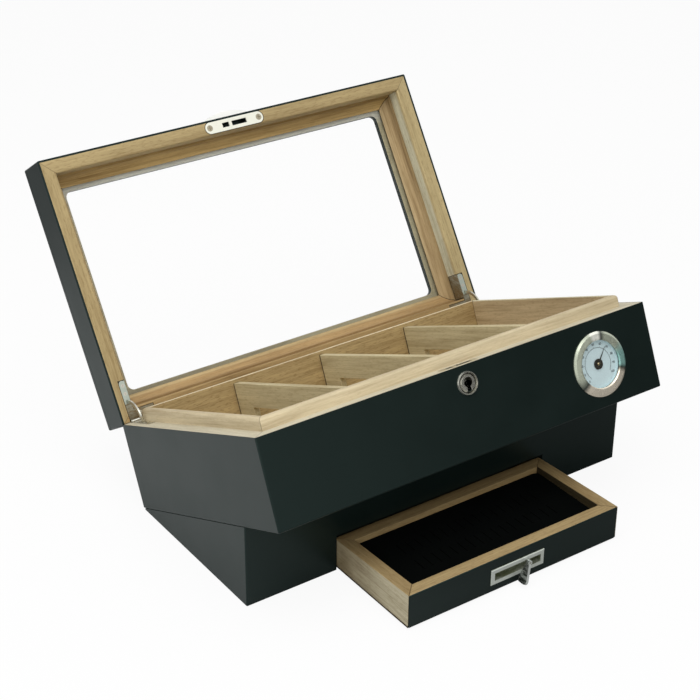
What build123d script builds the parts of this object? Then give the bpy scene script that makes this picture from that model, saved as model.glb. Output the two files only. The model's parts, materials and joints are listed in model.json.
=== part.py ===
from build123d import *
import os
from math import asin, cos, degrees, radians, sin, sqrt, tan

# Cigar humidor: a tilted, cedar-lined case on a wedge base, with a glazed lid that its
# quadrant hinges hold open, and a drawer that is pulled out of the base.
# Millimetres, +X to the right, +Y to the back, +Z up. The origin is in the middle of the
# base's underside. The model stands with the lid open and the drawer out.

# Case
case_width = 406.0
case_depth = 248.0
case_height = 78.0
tilt = 24.2
overhang = 56.4
wall = 14.5
case_round = 1.2
case_floor_thickness = 9.0
lining_thickness = 6.0
lining_floor_thickness = 5.0
lip_height = 11.0
lip_clearance = 0.5
lip_round = 3.0

# Dividers, by the place of each one's left face
divider_thickness = 6.0
divider_places = (-96.4, -2.0, 95.6)
divider_below_lip = 3.5
divider_gap = 0.3
window_margin = 22.0
window_end_margin = 27.5
window_round = 2.0

# Base and drawer
base_wall = 12.0
base_floor_thickness = 1.5
base_tip_cut = 3.0
running_gap = 0.3
drawer_width = 225.6
drawer_height = 32.4
drawer_back_drop = 4.3
drawer_front_drop = 0.9
drawer_depth = 105.0
drawer_wall = 12.5
drawer_out = 100.8
drawer_side_gap = 0.6
drawer_round = 2.0
drawer_bottom_thickness = 3.0
ear_length = 35.0
ear_reach = 6.6
guide_width = 13.6
guide_height = 8.5
guide_beyond_ear = 3.0
foam_below_rim = 9.0
foam_round = 6.0
foam_gap = 0.3

# Drawer pull
pull_place = 0.8
pull_width = 57.3
pull_height = 15.3
pull_border = 3.8
pull_plate = 1.2
pull_tub_wall = 1.0
pull_recess_depth = 6.0
pull_above_bottom = 7.2
pull_pin_place = 10.2
pull_pin_below_top = 5.4
pull_pin_radius = 1.0
pull_pin_reach = 4.8
tab_length = 18.2
tab_thickness = 2.8
tab_depth = 11.2
tab_round = 2.5
tab_eye_radius = 2.2
tab_clearance = 0.05
tab_standoff = 0.6
tab_lean = 33.0

# Lid
lid_open_angle = 99.0
lid_height = 36.0
lid_panel_thickness = 6.0
lid_round = 1.5
window_inset = 29.0
window_corner = 6.0
glass_thickness = 3.0
glass_gap = 0.8
moulding_width = 10.7
moulding_height = 11.0
moulding_flat = 2.0
moulding_nose = 1.4
moulding_bow = 9.4
rim_gap = 0.3
rail_edge_round = 1.5

# Hinges: distances are from the case's end and from the hinge edge
hinge_inset = 1.8
hinge_relief = 2.2
leaf_start = 8.3
leaf_thickness = 1.5
leaf_side_length = 39.5
leaf_back_width = 12.0
leaf_back_end = 34.0
leaf_round = 3.0
flange_thickness = 0.8
flange_depth = 15.0
flange_start = 15.6
knuckle_radius = 2.0
knuckle_gap = 0.15
knuckle_count = 3
knuckle_notch = 0.4
hinge_pin_radius = 0.8
pin_clearance = 0.05
arm_radius = 18.0
arm_width = 3.0
arm_thickness = 1.5
arm_place = 10.5
arm_head_width = 4.6
arm_head_angle = 4.5
arm_play = 0.3
hinge_screw_head = 1.7
hinge_screw_shank = 0.8
hinge_screw_length = 8.0
hinge_screw_spots = ((11.4, 27.5), (11.4, 35.0), (20.0, 8.0), (28.5, 8.0))

# Lock and strike
lock_plate_length = 40.0
lock_plate_width = 7.0
lock_plate_thickness = 1.5
lock_body_length = 32.0
lock_body_depth = 30.0
lock_wall = 1.0
lock_from_front = 7.5
lock_round = 3.1
keyhole_below_rim = 15.6
keyhole_radius = 3.3
keyhole_drop = 7.4
keyhole_neck = 1.3
keyhole_foot = 2.3
slot_height = 4.5
slots = ((-9.5, 7.3), (5.3, 16.0))
claw_play = 1.0
claw_thickness = 2.0
claw_below_rim = 0.8
bolt_travel = 6.0
bolt_bar_height = 4.0
bolt_bar_overlap = 2.0
lock_screw_spread = 17.6
lock_screw_head = 1.5
lock_screw_shank = 0.7
lock_screw_length = 7.0
strike_length = 63.5
strike_width = 11.0
strike_thickness = 1.5
strike_pocket_depth = 9.0
strike_pocket_half = 3.2
strike_round = 5.4
strike_screw_spread = 26.9
strike_screw_head = 3.0
strike_screw_shank = 1.3
strike_screw_length = 11.0

# Escutcheon
escutcheon_radius = 10.25
escutcheon_proud = 1.8
escutcheon_rim = 1.7
escutcheon_groove = 1.2
escutcheon_groove_floor = 0.6
escutcheon_rim_slope = 0.5
escutcheon_disc = 1.35
escutcheon_spigot = 7.0

# Lift tab of the lid
lift_radius = 61.0
lift_reach = 7.2
lift_thickness = 1.6
lift_above_rim = 12.7
lift_tongue = 8.0

# Hygrometer
gauge_from_end = 63.0
gauge_height = 38.5
bezel_radius = 28.8
bezel_edge = 0.9
bezel_shoulder = 2.1
bezel_slope = 2.0
bezel_proud = 2.6
bezel_ridge = 1.8
bezel_lip = 21.0
bezel_lip_round = 0.8
bezel_seat = 22.5
cup_radius = 22.5
cup_depth = 19.5
cup_wall = 1.0
cup_bore_gap = 0.2
vent_circle = 12.0
vent_count = 6
vent_length = 9.0
vent_width = 2.4
cup_shoulder = 0.8
dial_drop = 2.0
dial_thickness = 0.8
dial_rim = 0.5
gauge_glass = 1.0
gauge_gap = 0.1
needle_length = 17.3
needle_tail = 5.0
needle_width = 1.5
needle_thickness = 0.3
needle_lift = 0.5
needle_angle = 39.5
hub_radius = 4.6
hub_lift = 0.2
hub_height = 1.1
spindle_radius = 0.6
spindle_length = 3.0

# Cross recess of every screw, as shares of its head's radius
cross_span = 1.3
cross_slot = 0.25
cross_depth = 0.33

parts_folder = "parts"
sides = ("front", "right", "back", "left")

# Places that follow from the sizes
tilt_angle = radians(tilt)
base_depth = (case_depth - overhang) * cos(tilt_angle)
base_height = (case_depth - overhang) * sin(tilt_angle)
base_front_y = -base_depth / 2
base_tip_y = base_depth / 2 - base_tip_cut
gauge_place = case_width / 2 - gauge_from_end
lip_top = case_height + lip_height
chamber_floor = case_floor_thickness + lining_floor_thickness
chamber_inset = wall + lining_thickness
case_frame = Plane(
    origin=(0, base_depth / 2 - case_depth * cos(tilt_angle), case_depth * sin(tilt_angle)),
    x_dir=(1, 0, 0),
    z_dir=(0, sin(tilt_angle), cos(tilt_angle)),
)
hinge_y = case_depth - hinge_inset
hinge_point = case_frame.from_local_coords((0, hinge_y, case_height + rim_gap / 2))
open_angle = radians(tilt + lid_open_angle)
lid_up = Vector(0, sin(open_angle), cos(open_angle))
lid_back_way = Vector(0, cos(open_angle), -sin(open_angle))
lid_frame = Plane(
    origin=hinge_point - lid_back_way * hinge_y + lid_up * (rim_gap / 2),
    x_dir=(1, 0, 0),
    z_dir=lid_up,
)
drawer_bottom_z = base_floor_thickness + running_gap
drawer_frame = Plane(origin=(0, base_front_y - drawer_out, drawer_bottom_z))
base_frame = Plane(origin=(0, base_front_y, 0))


def place(frame, x=0.0, y=0.0, z=0.0):
    """A plane parallel to a frame, with its origin at a point given in that frame."""
    return Plane(origin=frame.from_local_coords((x, y, z)), x_dir=frame.x_dir, z_dir=frame.z_dir)


def on_front(frame, x, z):
    """A plane on a frame's front face, facing out, with its y pointing up the face."""
    return Plane(origin=frame.from_local_coords((x, 0, z)), x_dir=frame.x_dir, z_dir=-frame.y_dir)


def across_hinge(from_end):
    """A plane across the left hinge: x to the case's front, y up from the rim, facing -X."""
    origin = hinge_point + Vector(from_end - case_width / 2, 0, 0)
    return Plane(origin=origin, x_dir=-case_frame.y_dir, z_dir=(-1, 0, 0))


def mitred(frame, width, depth, outer_inset, inner_inset, side):
    """Plan of one board of a mitred frame, between two insets from the frame's outside."""
    rings = []
    for inset in (outer_inset, inner_inset):
        x = width / 2 - inset
        rings.append([(-x, inset), (x, inset), (x, depth - inset), (-x, depth - inset)])
    start = sides.index(side)
    end = (start + 1) % len(sides)
    with BuildSketch(frame) as plan:
        with BuildLine():
            Polyline(rings[0][start], rings[0][end], rings[1][end], rings[1][start], close=True)
        make_face()
    return plan.sketch


def block(frame, x_range, y_range, z_range):
    """A rectangular block between limits given in a frame."""
    corner = place(frame, x_range[0], y_range[0], z_range[0])
    with BuildPart(corner) as solid:
        Box(
            x_range[1] - x_range[0],
            y_range[1] - y_range[0],
            z_range[1] - z_range[0],
            align=(Align.MIN, Align.MIN, Align.MIN),
        )
    return solid.part


def turned(seat, outline):
    """A turned solid: an outline of radius and height, spun about the seat's normal."""
    section = Plane(origin=seat.origin, x_dir=seat.x_dir, z_dir=-seat.y_dir)
    with BuildPart() as solid:
        with BuildSketch(section):
            with BuildLine():
                Polyline(*outline, close=True)
            make_face()
        revolve(axis=Axis(seat.origin, seat.z_dir))
    return solid.part


def screw(seat, head, shank, length):
    """A countersunk screw with its head flush with the seat plane, which faces out."""
    cone = head - shank
    outline = ((0, 0), (head, 0), (shank, -cone), (shank, shank - length), (0, -length))
    return turned(seat, outline)


def cross_recess(seat, head):
    """The cross for a screwdriver in a screw's head."""
    with BuildPart() as cross:
        with BuildSketch(seat):
            Rectangle(head * cross_span, head * cross_slot)
            Rectangle(head * cross_slot, head * cross_span)
        extrude(amount=-head * cross_depth)
    return cross.part


def rounded_block(frame, width, depth, height, radius, open_side):
    """A block with round edges all over, apart from those of its one open side."""
    with BuildPart(frame) as solid:
        Box(width, depth, height, align=(Align.CENTER, Align.MIN, Align.MIN))
        along = solid.edges().sort_by(lambda edge: frame.to_local_coords(edge.center()).Z)
        kept = along[:-4] if open_side == "top" else along[4:]
        fillet(kept, radius)
    return solid.part


def sector(plane, inner, outer, start, end):
    """A piece of a ring about the plane's origin, between two radii and two angles."""
    with BuildSketch(plane) as piece:
        with BuildLine():
            far = CenterArc((0, 0), outer, start, end - start)
            near = CenterArc((0, 0), inner, start, end - start)
            Line(near @ 0, far @ 0)
            Line(near @ 1, far @ 1)
        make_face()
    return piece.sketch


def hinge_rod(start, end, radius):
    """A rod on the left hinge's axis, between two distances from the case's end."""
    with BuildPart() as rod:
        with BuildSketch(across_hinge(start)):
            Circle(radius)
        extrude(amount=start - end)
    return rod.part


def save(solid, name):
    """Label a finished piece and write it."""
    solid.label = name
    export_step(solid, os.path.join(parts_folder, name + ".step"))


os.makedirs(parts_folder, exist_ok=True)

# Envelopes: the outer shapes of case and lid, and the wedge under the case
case_block = rounded_block(case_frame, case_width, case_depth, case_height, case_round, "top")
lid_block = rounded_block(lid_frame, case_width, case_depth, lid_height, lid_round, "bottom")

with BuildPart() as wedge:
    with BuildSketch(Plane.YZ.offset(-case_width / 2)):
        with BuildLine():
            Polyline(
                (base_front_y, 0),
                (base_tip_y, 0),
                (base_tip_y, base_tip_cut * tan(tilt_angle)),
                (base_front_y, base_height),
                close=True,
            )
        make_face()
    extrude(amount=case_width)
    front_corners = wedge.edges().filter_by(Axis.Z).group_by(Axis.Y)[0]
    fillet(front_corners, case_round)

# Hinge: the angles of the arm, from the case's rim towards the open lid
arm_stop_drop = rim_gap / 2 + leaf_thickness + arm_play
arm_neck_angle = degrees(asin(arm_stop_drop / arm_radius))
arm_sunk_angle = arm_neck_angle + arm_head_angle
arm_half_span = lid_open_angle / 2 + arm_sunk_angle
arm_inner = arm_radius - arm_width / 2
arm_outer = arm_radius + arm_width / 2
head_inner = arm_radius - arm_head_width / 2
head_outer = arm_radius + arm_head_width / 2
pocket_play = degrees(arm_play / arm_radius) + arm_head_angle / 4
knuckle_length = (leaf_back_end - leaf_start - (knuckle_count - 1) * knuckle_gap) / knuckle_count
middle_start = leaf_start + knuckle_length + knuckle_gap
middle_end = middle_start + knuckle_length
left_end = -case_width / 2


def leaf_plan(frame):
    """Plan of a hinge leaf at the left end: a leg along the end and one along the back."""
    with BuildSketch(frame) as plan:
        with BuildLine():
            points = (
                (leaf_start, hinge_relief),
                (leaf_back_end, hinge_relief),
                (leaf_back_end, leaf_back_width),
                (wall, leaf_back_width),
                (wall, leaf_side_length),
                (leaf_start, leaf_side_length),
            )
            Polyline(*[(left_end + a, case_depth - b) for a, b in points], close=True)
        make_face()
        fillet(plan.vertices().sort_by(Axis.Y)[:2], leaf_round)
    return plan.sketch


def arm_pocket(start, end):
    """The curved slot for the arm, in the wood between two angles about the hinge."""
    with BuildPart() as pocket:
        plane = across_hinge(arm_place - arm_play)
        extrude(
            sector(plane, head_inner - arm_play, head_outer + arm_play, start, end),
            amount=-(arm_thickness + 2 * arm_play),
        )
    return pocket.part


def hinge_cutter(frame, into, start, end):
    """What a leaf, its barrel, its arm and its screws take out of the boards at the left end."""
    with BuildPart() as cutter:
        extrude(leaf_plan(frame), amount=into * leaf_thickness)
        add(arm_pocket(start, end))
        notch = knuckle_radius + knuckle_notch
        add(hinge_rod(leaf_start - knuckle_notch, leaf_back_end + knuckle_notch, notch))
        for seat in screw_seats(frame, into):
            add(screw(seat, hinge_screw_head, hinge_screw_shank, hinge_screw_length))
        add(rim_relief(frame, into))
    return cutter.part


def rim_relief(frame, into):
    """The bevel off a rim's back edge, which lets the lid turn about a pin inside that edge."""
    over = hinge_relief / 2
    corner = frame.from_local_coords((left_end - over, case_depth, 0))
    with BuildPart() as wedge_cut:
        with BuildSketch(Plane(origin=corner, x_dir=-frame.y_dir, z_dir=(-1, 0, 0))):
            with BuildLine():
                Polyline(
                    (-over, into * (hinge_relief + over)),
                    (hinge_relief + over, -into * over),
                    (-over, -into * over),
                    close=True,
                )
            make_face()
        extrude(amount=-case_width - 2 * over)
    return wedge_cut.part


def screw_seats(frame, into):
    """Planes that face out of the wood at each screw of the left leaf."""
    seats = []
    for from_end, from_back in hinge_screw_spots:
        origin = frame.from_local_coords((left_end + from_end, case_depth - from_back, 0))
        seats.append(Plane(origin=origin, x_dir=frame.x_dir, z_dir=frame.z_dir * -into))
    return seats


case_rim = place(case_frame, z=case_height)
case_hinge_cut = hinge_cutter(case_rim, -1, -arm_half_span - pocket_play, 0)
lid_hinge_cut = hinge_cutter(
    lid_frame, 1, lid_open_angle, lid_open_angle + arm_half_span + pocket_play
)

# Lock and strike: the lock stands in the case's front wall, the strike in the lid's rim
lock_seat = place(case_rim, y=lock_from_front)
strike_seat = Plane(
    origin=lid_frame.from_local_coords((0, lock_from_front, 0)),
    x_dir=lid_frame.x_dir,
    z_dir=-lid_frame.z_dir,
)
keyhole_seat = on_front(case_frame, 0, case_height - keyhole_below_rim)
lock_face = lock_from_front - lock_plate_width / 2
lock_back = lock_from_front + lock_plate_width / 2
lock_foot = case_height - lock_plate_thickness - lock_body_depth
pocket_start = slots[0][0] - slots[0][1] / 2
pocket_end = slots[1][0] + slots[1][1] / 2


def screw_pair(seat, spread, head, shank, length):
    """Two countersunk screws, one each side of a seat's middle."""
    with BuildPart() as pair:
        for x in (-spread, spread):
            add(screw(place(seat, x), head, shank, length))
    return pair.part


def keyhole(depth):
    """A keyhole's cutter, from the front of the escutcheon to a depth behind the case's face."""
    start = place(keyhole_seat, z=escutcheon_proud)
    with BuildPart() as cutter:
        with BuildSketch(start):
            Circle(keyhole_radius)
            with BuildLine():
                Polyline(
                    (-keyhole_neck, 0),
                    (keyhole_neck, 0),
                    (keyhole_foot, -keyhole_drop),
                    (-keyhole_foot, -keyhole_drop),
                    close=True,
                )
            make_face()
        extrude(amount=-escutcheon_proud - depth)
    return cutter.part


def slot_cutter(seat, height, play, thickness, top):
    """The two slots of lock and strike, or the claws in them, from a level to a thickness below."""
    with BuildPart() as cutter:
        with BuildSketch(place(seat, z=top)):
            for centre, length in slots:
                with Locations((centre, 0)):
                    Rectangle(length - 2 * play, height)
        extrude(amount=-thickness)
    return cutter.part


lock_plate_screws = screw_pair(
    lock_seat, lock_screw_spread, lock_screw_head, lock_screw_shank, lock_screw_length
)
strike_plate_screws = screw_pair(
    strike_seat, strike_screw_spread, strike_screw_head, strike_screw_shank, strike_screw_length
)

with BuildPart() as lock_plate:
    with BuildSketch(lock_seat):
        RectangleRounded(lock_plate_length, lock_plate_width, lock_round)
    extrude(amount=-lock_plate_thickness)

lock_body = block(
    case_frame,
    (-lock_body_length / 2, lock_body_length / 2),
    (lock_face, lock_back),
    (lock_foot, case_height - lock_plate_thickness),
)

# Hygrometer
gauge_seat = on_front(case_frame, gauge_place, gauge_height)
cup_bore = cup_radius + cup_bore_gap
with BuildPart() as gauge_bore:
    with BuildSketch(gauge_seat):
        Circle(cup_bore)
    extrude(amount=-chamber_inset)

# Case walls
walls = {}
for side in sides:
    with BuildPart() as board:
        extrude(mitred(case_frame, case_width, case_depth, 0, wall, side), amount=case_height)
        add(case_block, mode=Mode.INTERSECT)
        if side == "front":
            add(gauge_bore.part, mode=Mode.SUBTRACT)
            add(lock_plate.part, mode=Mode.SUBTRACT)
            add(lock_body, mode=Mode.SUBTRACT)
            add(lock_plate_screws, mode=Mode.SUBTRACT)
            with BuildSketch(keyhole_seat):
                Circle(escutcheon_spigot)
            extrude(amount=-lock_face, mode=Mode.SUBTRACT)
        else:
            add(case_hinge_cut, mode=Mode.SUBTRACT)
            mirror(case_hinge_cut, about=Plane.YZ, mode=Mode.SUBTRACT)
    walls[side] = board.part
    save(board.part, f"case_{side}")

with BuildPart() as case_floor:
    add(
        block(
            case_frame,
            (wall - case_width / 2, case_width / 2 - wall),
            (wall, case_depth - wall),
            (0, case_floor_thickness),
        )
    )
save(case_floor.part, "case_floor")

# Cedar lining: its boards rise above the rim as a lip that locates the lid
for side in sides:
    with BuildPart() as lining:
        lower = place(case_frame, z=chamber_floor)
        upper = place(case_frame, z=case_height)
        lip_inset = wall + lip_clearance
        lip = mitred(upper, case_width, case_depth, lip_inset, chamber_inset, side)
        extrude(lip, amount=lip_height)
        towards_outside = {
            "front": -case_frame.y_dir,
            "back": case_frame.y_dir,
            "left": Vector(-1, 0, 0),
            "right": Vector(1, 0, 0),
        }[side]
        top_edges = lining.faces().sort_by(Axis(upper.origin, upper.z_dir))[-1].edges()
        fillet(top_edges.sort_by(Axis(upper.origin, towards_outside))[-1], lip_round)
        board_plan = mitred(lower, case_width, case_depth, wall, chamber_inset, side)
        extrude(board_plan, amount=case_height - chamber_floor)
        if side == "front":
            add(gauge_bore.part, mode=Mode.SUBTRACT)
    save(lining.part, f"lining_{side}")

with BuildPart() as lining_floor:
    add(
        block(
            case_frame,
            (wall - case_width / 2, case_width / 2 - wall),
            (wall, case_depth - wall),
            (case_floor_thickness, chamber_floor),
        )
    )
save(lining_floor.part, "lining_floor")

# Dividers: loose panels with a window, which slide along the case
divider_foot = chamber_floor + divider_gap
divider_top = lip_top - divider_below_lip
divider_front = chamber_inset + divider_gap
divider_length = case_depth - 2 * divider_front
for number, divider_x in enumerate(divider_places, start=1):
    with BuildPart() as divider:
        middle = case_frame.from_local_coords(
            (divider_x, case_depth / 2, (divider_foot + divider_top) / 2)
        )
        panel_plane = Plane(origin=middle, x_dir=case_frame.y_dir, z_dir=(1, 0, 0))
        panel_height = divider_top - divider_foot
        with BuildSketch(panel_plane):
            Rectangle(divider_length, panel_height)
            RectangleRounded(
                divider_length - 2 * window_end_margin,
                panel_height - 2 * window_margin,
                window_round,
                mode=Mode.SUBTRACT,
            )
        extrude(amount=divider_thickness)
    save(divider.part, f"divider_{number}")

# Base
opening_half = drawer_width / 2 + drawer_side_gap
opening_height = drawer_bottom_z + drawer_height + drawer_side_gap
with BuildPart() as base_front:
    add(
        block(
            base_frame,
            (-case_width / 2, case_width / 2),
            (0, base_wall),
            (0, base_height),
        )
    )
    add(wedge.part, mode=Mode.INTERSECT)
    add(
        block(base_frame, (-opening_half, opening_half), (0, base_wall), (0, opening_height)),
        mode=Mode.SUBTRACT,
    )
save(base_front.part, "base_front")

with BuildPart() as base_left:
    add(
        block(
            base_frame,
            (-case_width / 2, base_wall - case_width / 2),
            (base_wall, base_depth),
            (0, base_height),
        )
    )
    add(wedge.part, mode=Mode.INTERSECT)
save(base_left.part, "base_left")

with BuildPart() as base_right:
    mirror(base_left.part, about=Plane.YZ)
save(base_right.part, "base_right")

# The floor starts behind the shut drawer's front, which reaches lower than its other boards
base_floor_start = drawer_wall + running_gap
with BuildPart() as base_floor:
    add(
        block(
            base_frame,
            (base_wall - case_width / 2, case_width / 2 - base_wall),
            (base_floor_start, base_depth),
            (0, base_floor_thickness),
        )
    )
    add(wedge.part, mode=Mode.INTERSECT)
save(base_floor.part, "base_floor")

# Drawer guides: rails on the base floor, with a groove for the ears of the drawer's bottom
ear_half = drawer_width / 2 + ear_reach
ear_start = drawer_out + base_wall + running_gap
ear_end = ear_start + ear_length
groove_top = drawer_bottom_z + drawer_bottom_thickness + running_gap
with BuildPart() as drawer_guide_left:
    add(
        block(
            base_frame,
            (-opening_half - guide_width, -opening_half),
            (base_wall, ear_end + guide_beyond_ear),
            (base_floor_thickness, base_floor_thickness + guide_height),
        )
    )
    add(
        block(
            base_frame,
            (-ear_half - running_gap, -opening_half),
            (base_wall, ear_end + guide_beyond_ear),
            (base_floor_thickness, groove_top),
        ),
        mode=Mode.SUBTRACT,
    )
    add(wedge.part, mode=Mode.INTERSECT)
save(drawer_guide_left.part, "drawer_guide_left")

with BuildPart() as drawer_guide_right:
    mirror(drawer_guide_left.part, about=Plane.YZ)
save(drawer_guide_right.part, "drawer_guide_right")

# Drawer
inner_half = drawer_width / 2 - drawer_wall
drawer_front_y = drawer_frame.origin.Y
drawer_back_y = drawer_front_y + drawer_depth
drawer_top_z = drawer_bottom_z + drawer_height
pull_seat = on_front(drawer_frame, pull_place, pull_above_bottom + pull_height / 2)
tub_width = pull_width - 2 * pull_border
tub_height = pull_height - 2 * pull_border
with BuildPart() as tub_block:
    with BuildSketch(pull_seat):
        Rectangle(tub_width + 2 * pull_tub_wall, tub_height + 2 * pull_tub_wall)
    extrude(amount=-pull_recess_depth - pull_tub_wall)

# The boards' tops fall towards the back, to clear the sloping floor of the case
with BuildPart() as drawer_slope:
    with BuildSketch(Plane.YZ.offset(-drawer_width / 2)):
        with BuildLine():
            Polyline(
                (drawer_front_y, 0),
                (drawer_back_y, 0),
                (drawer_back_y, drawer_top_z - drawer_back_drop),
                (drawer_front_y, drawer_top_z),
                close=True,
            )
        make_face()
    extrude(amount=drawer_width)

board_feet = {"front": -drawer_front_drop, "right": 0, "back": drawer_bottom_thickness, "left": 0}
for side in sides:
    with BuildPart() as drawer_board:
        board_frame = place(drawer_frame, z=board_feet[side])
        plan = mitred(board_frame, drawer_width, drawer_depth, 0, drawer_wall, side)
        extrude(plan, amount=drawer_height - board_feet[side])
        add(drawer_slope.part, mode=Mode.INTERSECT)
        if side == "front":
            face = drawer_board.faces().sort_by(Axis.Y)[0]
            fillet(face.edges().filter_by(Axis.X), drawer_round)
            add(tub_block.part, mode=Mode.SUBTRACT)
    save(drawer_board.part, f"drawer_{side}")

with BuildPart() as drawer_bottom:
    with BuildSketch(drawer_frame):
        with BuildLine():
            Polyline(
                (-inner_half, drawer_wall),
                (inner_half, drawer_wall),
                (inner_half, ear_start),
                (ear_half, ear_start),
                (ear_half, ear_end),
                (-ear_half, ear_end),
                (-ear_half, ear_start),
                (-inner_half, ear_start),
                close=True,
            )
        make_face()
    extrude(amount=drawer_bottom_thickness)
save(drawer_bottom.part, "drawer_bottom")

with BuildPart() as drawer_foam:
    with BuildSketch(place(drawer_frame, y=drawer_depth / 2, z=drawer_bottom_thickness)):
        RectangleRounded(
            2 * inner_half - 2 * foam_gap,
            drawer_depth - 2 * drawer_wall - 2 * foam_gap,
            foam_round,
        )
    extrude(amount=drawer_height - drawer_bottom_thickness - foam_below_rim)
save(drawer_foam.part, "drawer_foam")

# Drawer pull: a frame round a recess, with a tab that hangs on a pin
with BuildPart() as pull_frame:
    with BuildSketch(pull_seat):
        Rectangle(pull_width, pull_height)
    extrude(amount=pull_plate)
    outer_edges = pull_frame.faces().sort_by(Axis.Y)[0].edges()
    chamfer(outer_edges, pull_plate / 2)
    add(tub_block.part)
    with BuildSketch(place(pull_seat, z=pull_plate)):
        Rectangle(tub_width, tub_height)
    extrude(amount=-pull_plate - pull_recess_depth, mode=Mode.SUBTRACT)
save(pull_frame.part, "pull_frame")

pin_height = pull_height / 2 - pull_pin_below_top
with BuildPart() as pull_pin:
    with BuildSketch(place(pull_seat, pull_pin_place, pin_height, -pull_recess_depth)):
        Circle(pull_pin_radius)
    extrude(amount=pull_recess_depth + pull_pin_reach)
save(pull_pin.part, "pull_pin")

# The tab hangs in a plane across the drawer, turned about the pin
lean = radians(tab_lean)
tab_down = Vector(-sin(lean), 0, -cos(lean))
tab_side = Vector(cos(lean), 0, -sin(lean))
pin_point = place(pull_seat, pull_pin_place, pin_height).origin
tab_start = pull_plate + tab_standoff
eye_end = pull_pin_reach - tab_clearance
tab_plane = Plane(
    origin=pin_point - tab_side * (tab_thickness / 2),
    x_dir=tab_down,
    z_dir=tab_side,
)
tab_front = tab_plane.to_local_coords(pin_point + Vector(0, -1, 0)).Y
tab_near = tab_front * tab_start
tab_far = tab_front * (tab_start + tab_depth)
tab_neck = tab_front * eye_end
with BuildPart() as pull_tab:
    with BuildSketch(tab_plane) as tab_face:
        with BuildLine():
            Polyline(
                (0, tab_neck),
                (0, tab_near),
                (tab_length, tab_near),
                (tab_length, tab_far),
                close=True,
            )
        make_face()
        fillet(tab_face.vertices().sort_by(Axis.X)[-2:], tab_round)
    extrude(amount=tab_thickness)
    with BuildSketch(place(pull_seat, pull_pin_place, pin_height, tab_start)):
        Circle(tab_eye_radius)
    extrude(amount=eye_end - tab_start)
    with BuildSketch(place(pull_seat, pull_pin_place, pin_height)):
        Circle(pull_pin_radius + tab_clearance)
    extrude(amount=pull_pin_reach + tab_depth, mode=Mode.SUBTRACT)
save(pull_tab.part, "pull_tab")

# Lid
lift_centre = lift_radius - lift_reach
half_chord = sqrt(lift_radius**2 - lift_centre**2)
with BuildPart() as lid_lift_tab:
    with BuildSketch(place(lid_frame, z=lift_above_rim)):
        with BuildLine():
            ThreePointArc((-half_chord, 0), (0, -lift_reach), (half_chord, 0))
            Polyline(
                (half_chord, 0),
                (half_chord, lift_tongue),
                (-half_chord, lift_tongue),
                (-half_chord, 0),
            )
        make_face()
    extrude(amount=lift_thickness)
save(lid_lift_tab.part, "lid_lift_tab")

with BuildPart() as strike_plate_block:
    with BuildSketch(strike_seat):
        RectangleRounded(strike_length, strike_width, strike_round)
    extrude(amount=-strike_thickness)

strike_pocket = block(
    lid_frame,
    (pocket_start, pocket_end),
    (lock_from_front - strike_pocket_half, lock_from_front + strike_pocket_half),
    (strike_thickness, strike_pocket_depth),
)

flange_cut = block(
    lid_frame,
    (left_end + wall - flange_thickness, left_end + wall),
    (case_depth - leaf_side_length, case_depth - flange_start),
    (0, flange_depth),
)

rail_height = lid_height - lid_panel_thickness
lid_middle = lid_frame.from_local_coords((0, case_depth / 2, 0))


def from_lid_middle(edge):
    """The distance of an edge's centre from the middle of the lid's rim plane."""
    return (edge.center() - lid_middle).length


for side in sides:
    with BuildPart() as rail:
        extrude(mitred(lid_frame, case_width, case_depth, 0, wall, side), amount=rail_height)
        add(lid_block, mode=Mode.INTERSECT)
        rim = rail.faces().sort_by(Axis(lid_frame.origin, lid_frame.z_dir))[0]
        fillet(rim.edges().sort_by(from_lid_middle)[0], rail_edge_round)
        if side == "front":
            add(lid_lift_tab.part, mode=Mode.SUBTRACT)
            add(strike_plate_block.part, mode=Mode.SUBTRACT)
            add(strike_pocket, mode=Mode.SUBTRACT)
            add(strike_plate_screws, mode=Mode.SUBTRACT)
        else:
            add(lid_hinge_cut, mode=Mode.SUBTRACT)
            mirror(lid_hinge_cut, about=Plane.YZ, mode=Mode.SUBTRACT)
            add(flange_cut, mode=Mode.SUBTRACT)
            mirror(flange_cut, about=Plane.YZ, mode=Mode.SUBTRACT)
    save(rail.part, f"lid_{side}")

with BuildPart() as lid_panel:
    with BuildSketch(place(lid_frame, y=case_depth / 2, z=rail_height)):
        Rectangle(case_width, case_depth)
        RectangleRounded(
            case_width - 2 * window_inset,
            case_depth - 2 * window_inset,
            window_corner,
            mode=Mode.SUBTRACT,
        )
    extrude(amount=lid_panel_thickness)
    add(lid_block, mode=Mode.INTERSECT)
save(lid_panel.part, "lid_panel")

glass_inset = wall + glass_gap
with BuildPart() as lid_glass:
    add(
        block(
            lid_frame,
            (glass_inset - case_width / 2, case_width / 2 - glass_inset),
            (glass_inset, case_depth - glass_inset),
            (rail_height - glass_thickness, rail_height),
        )
    )
save(lid_glass.part, "lid_glass")

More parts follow.
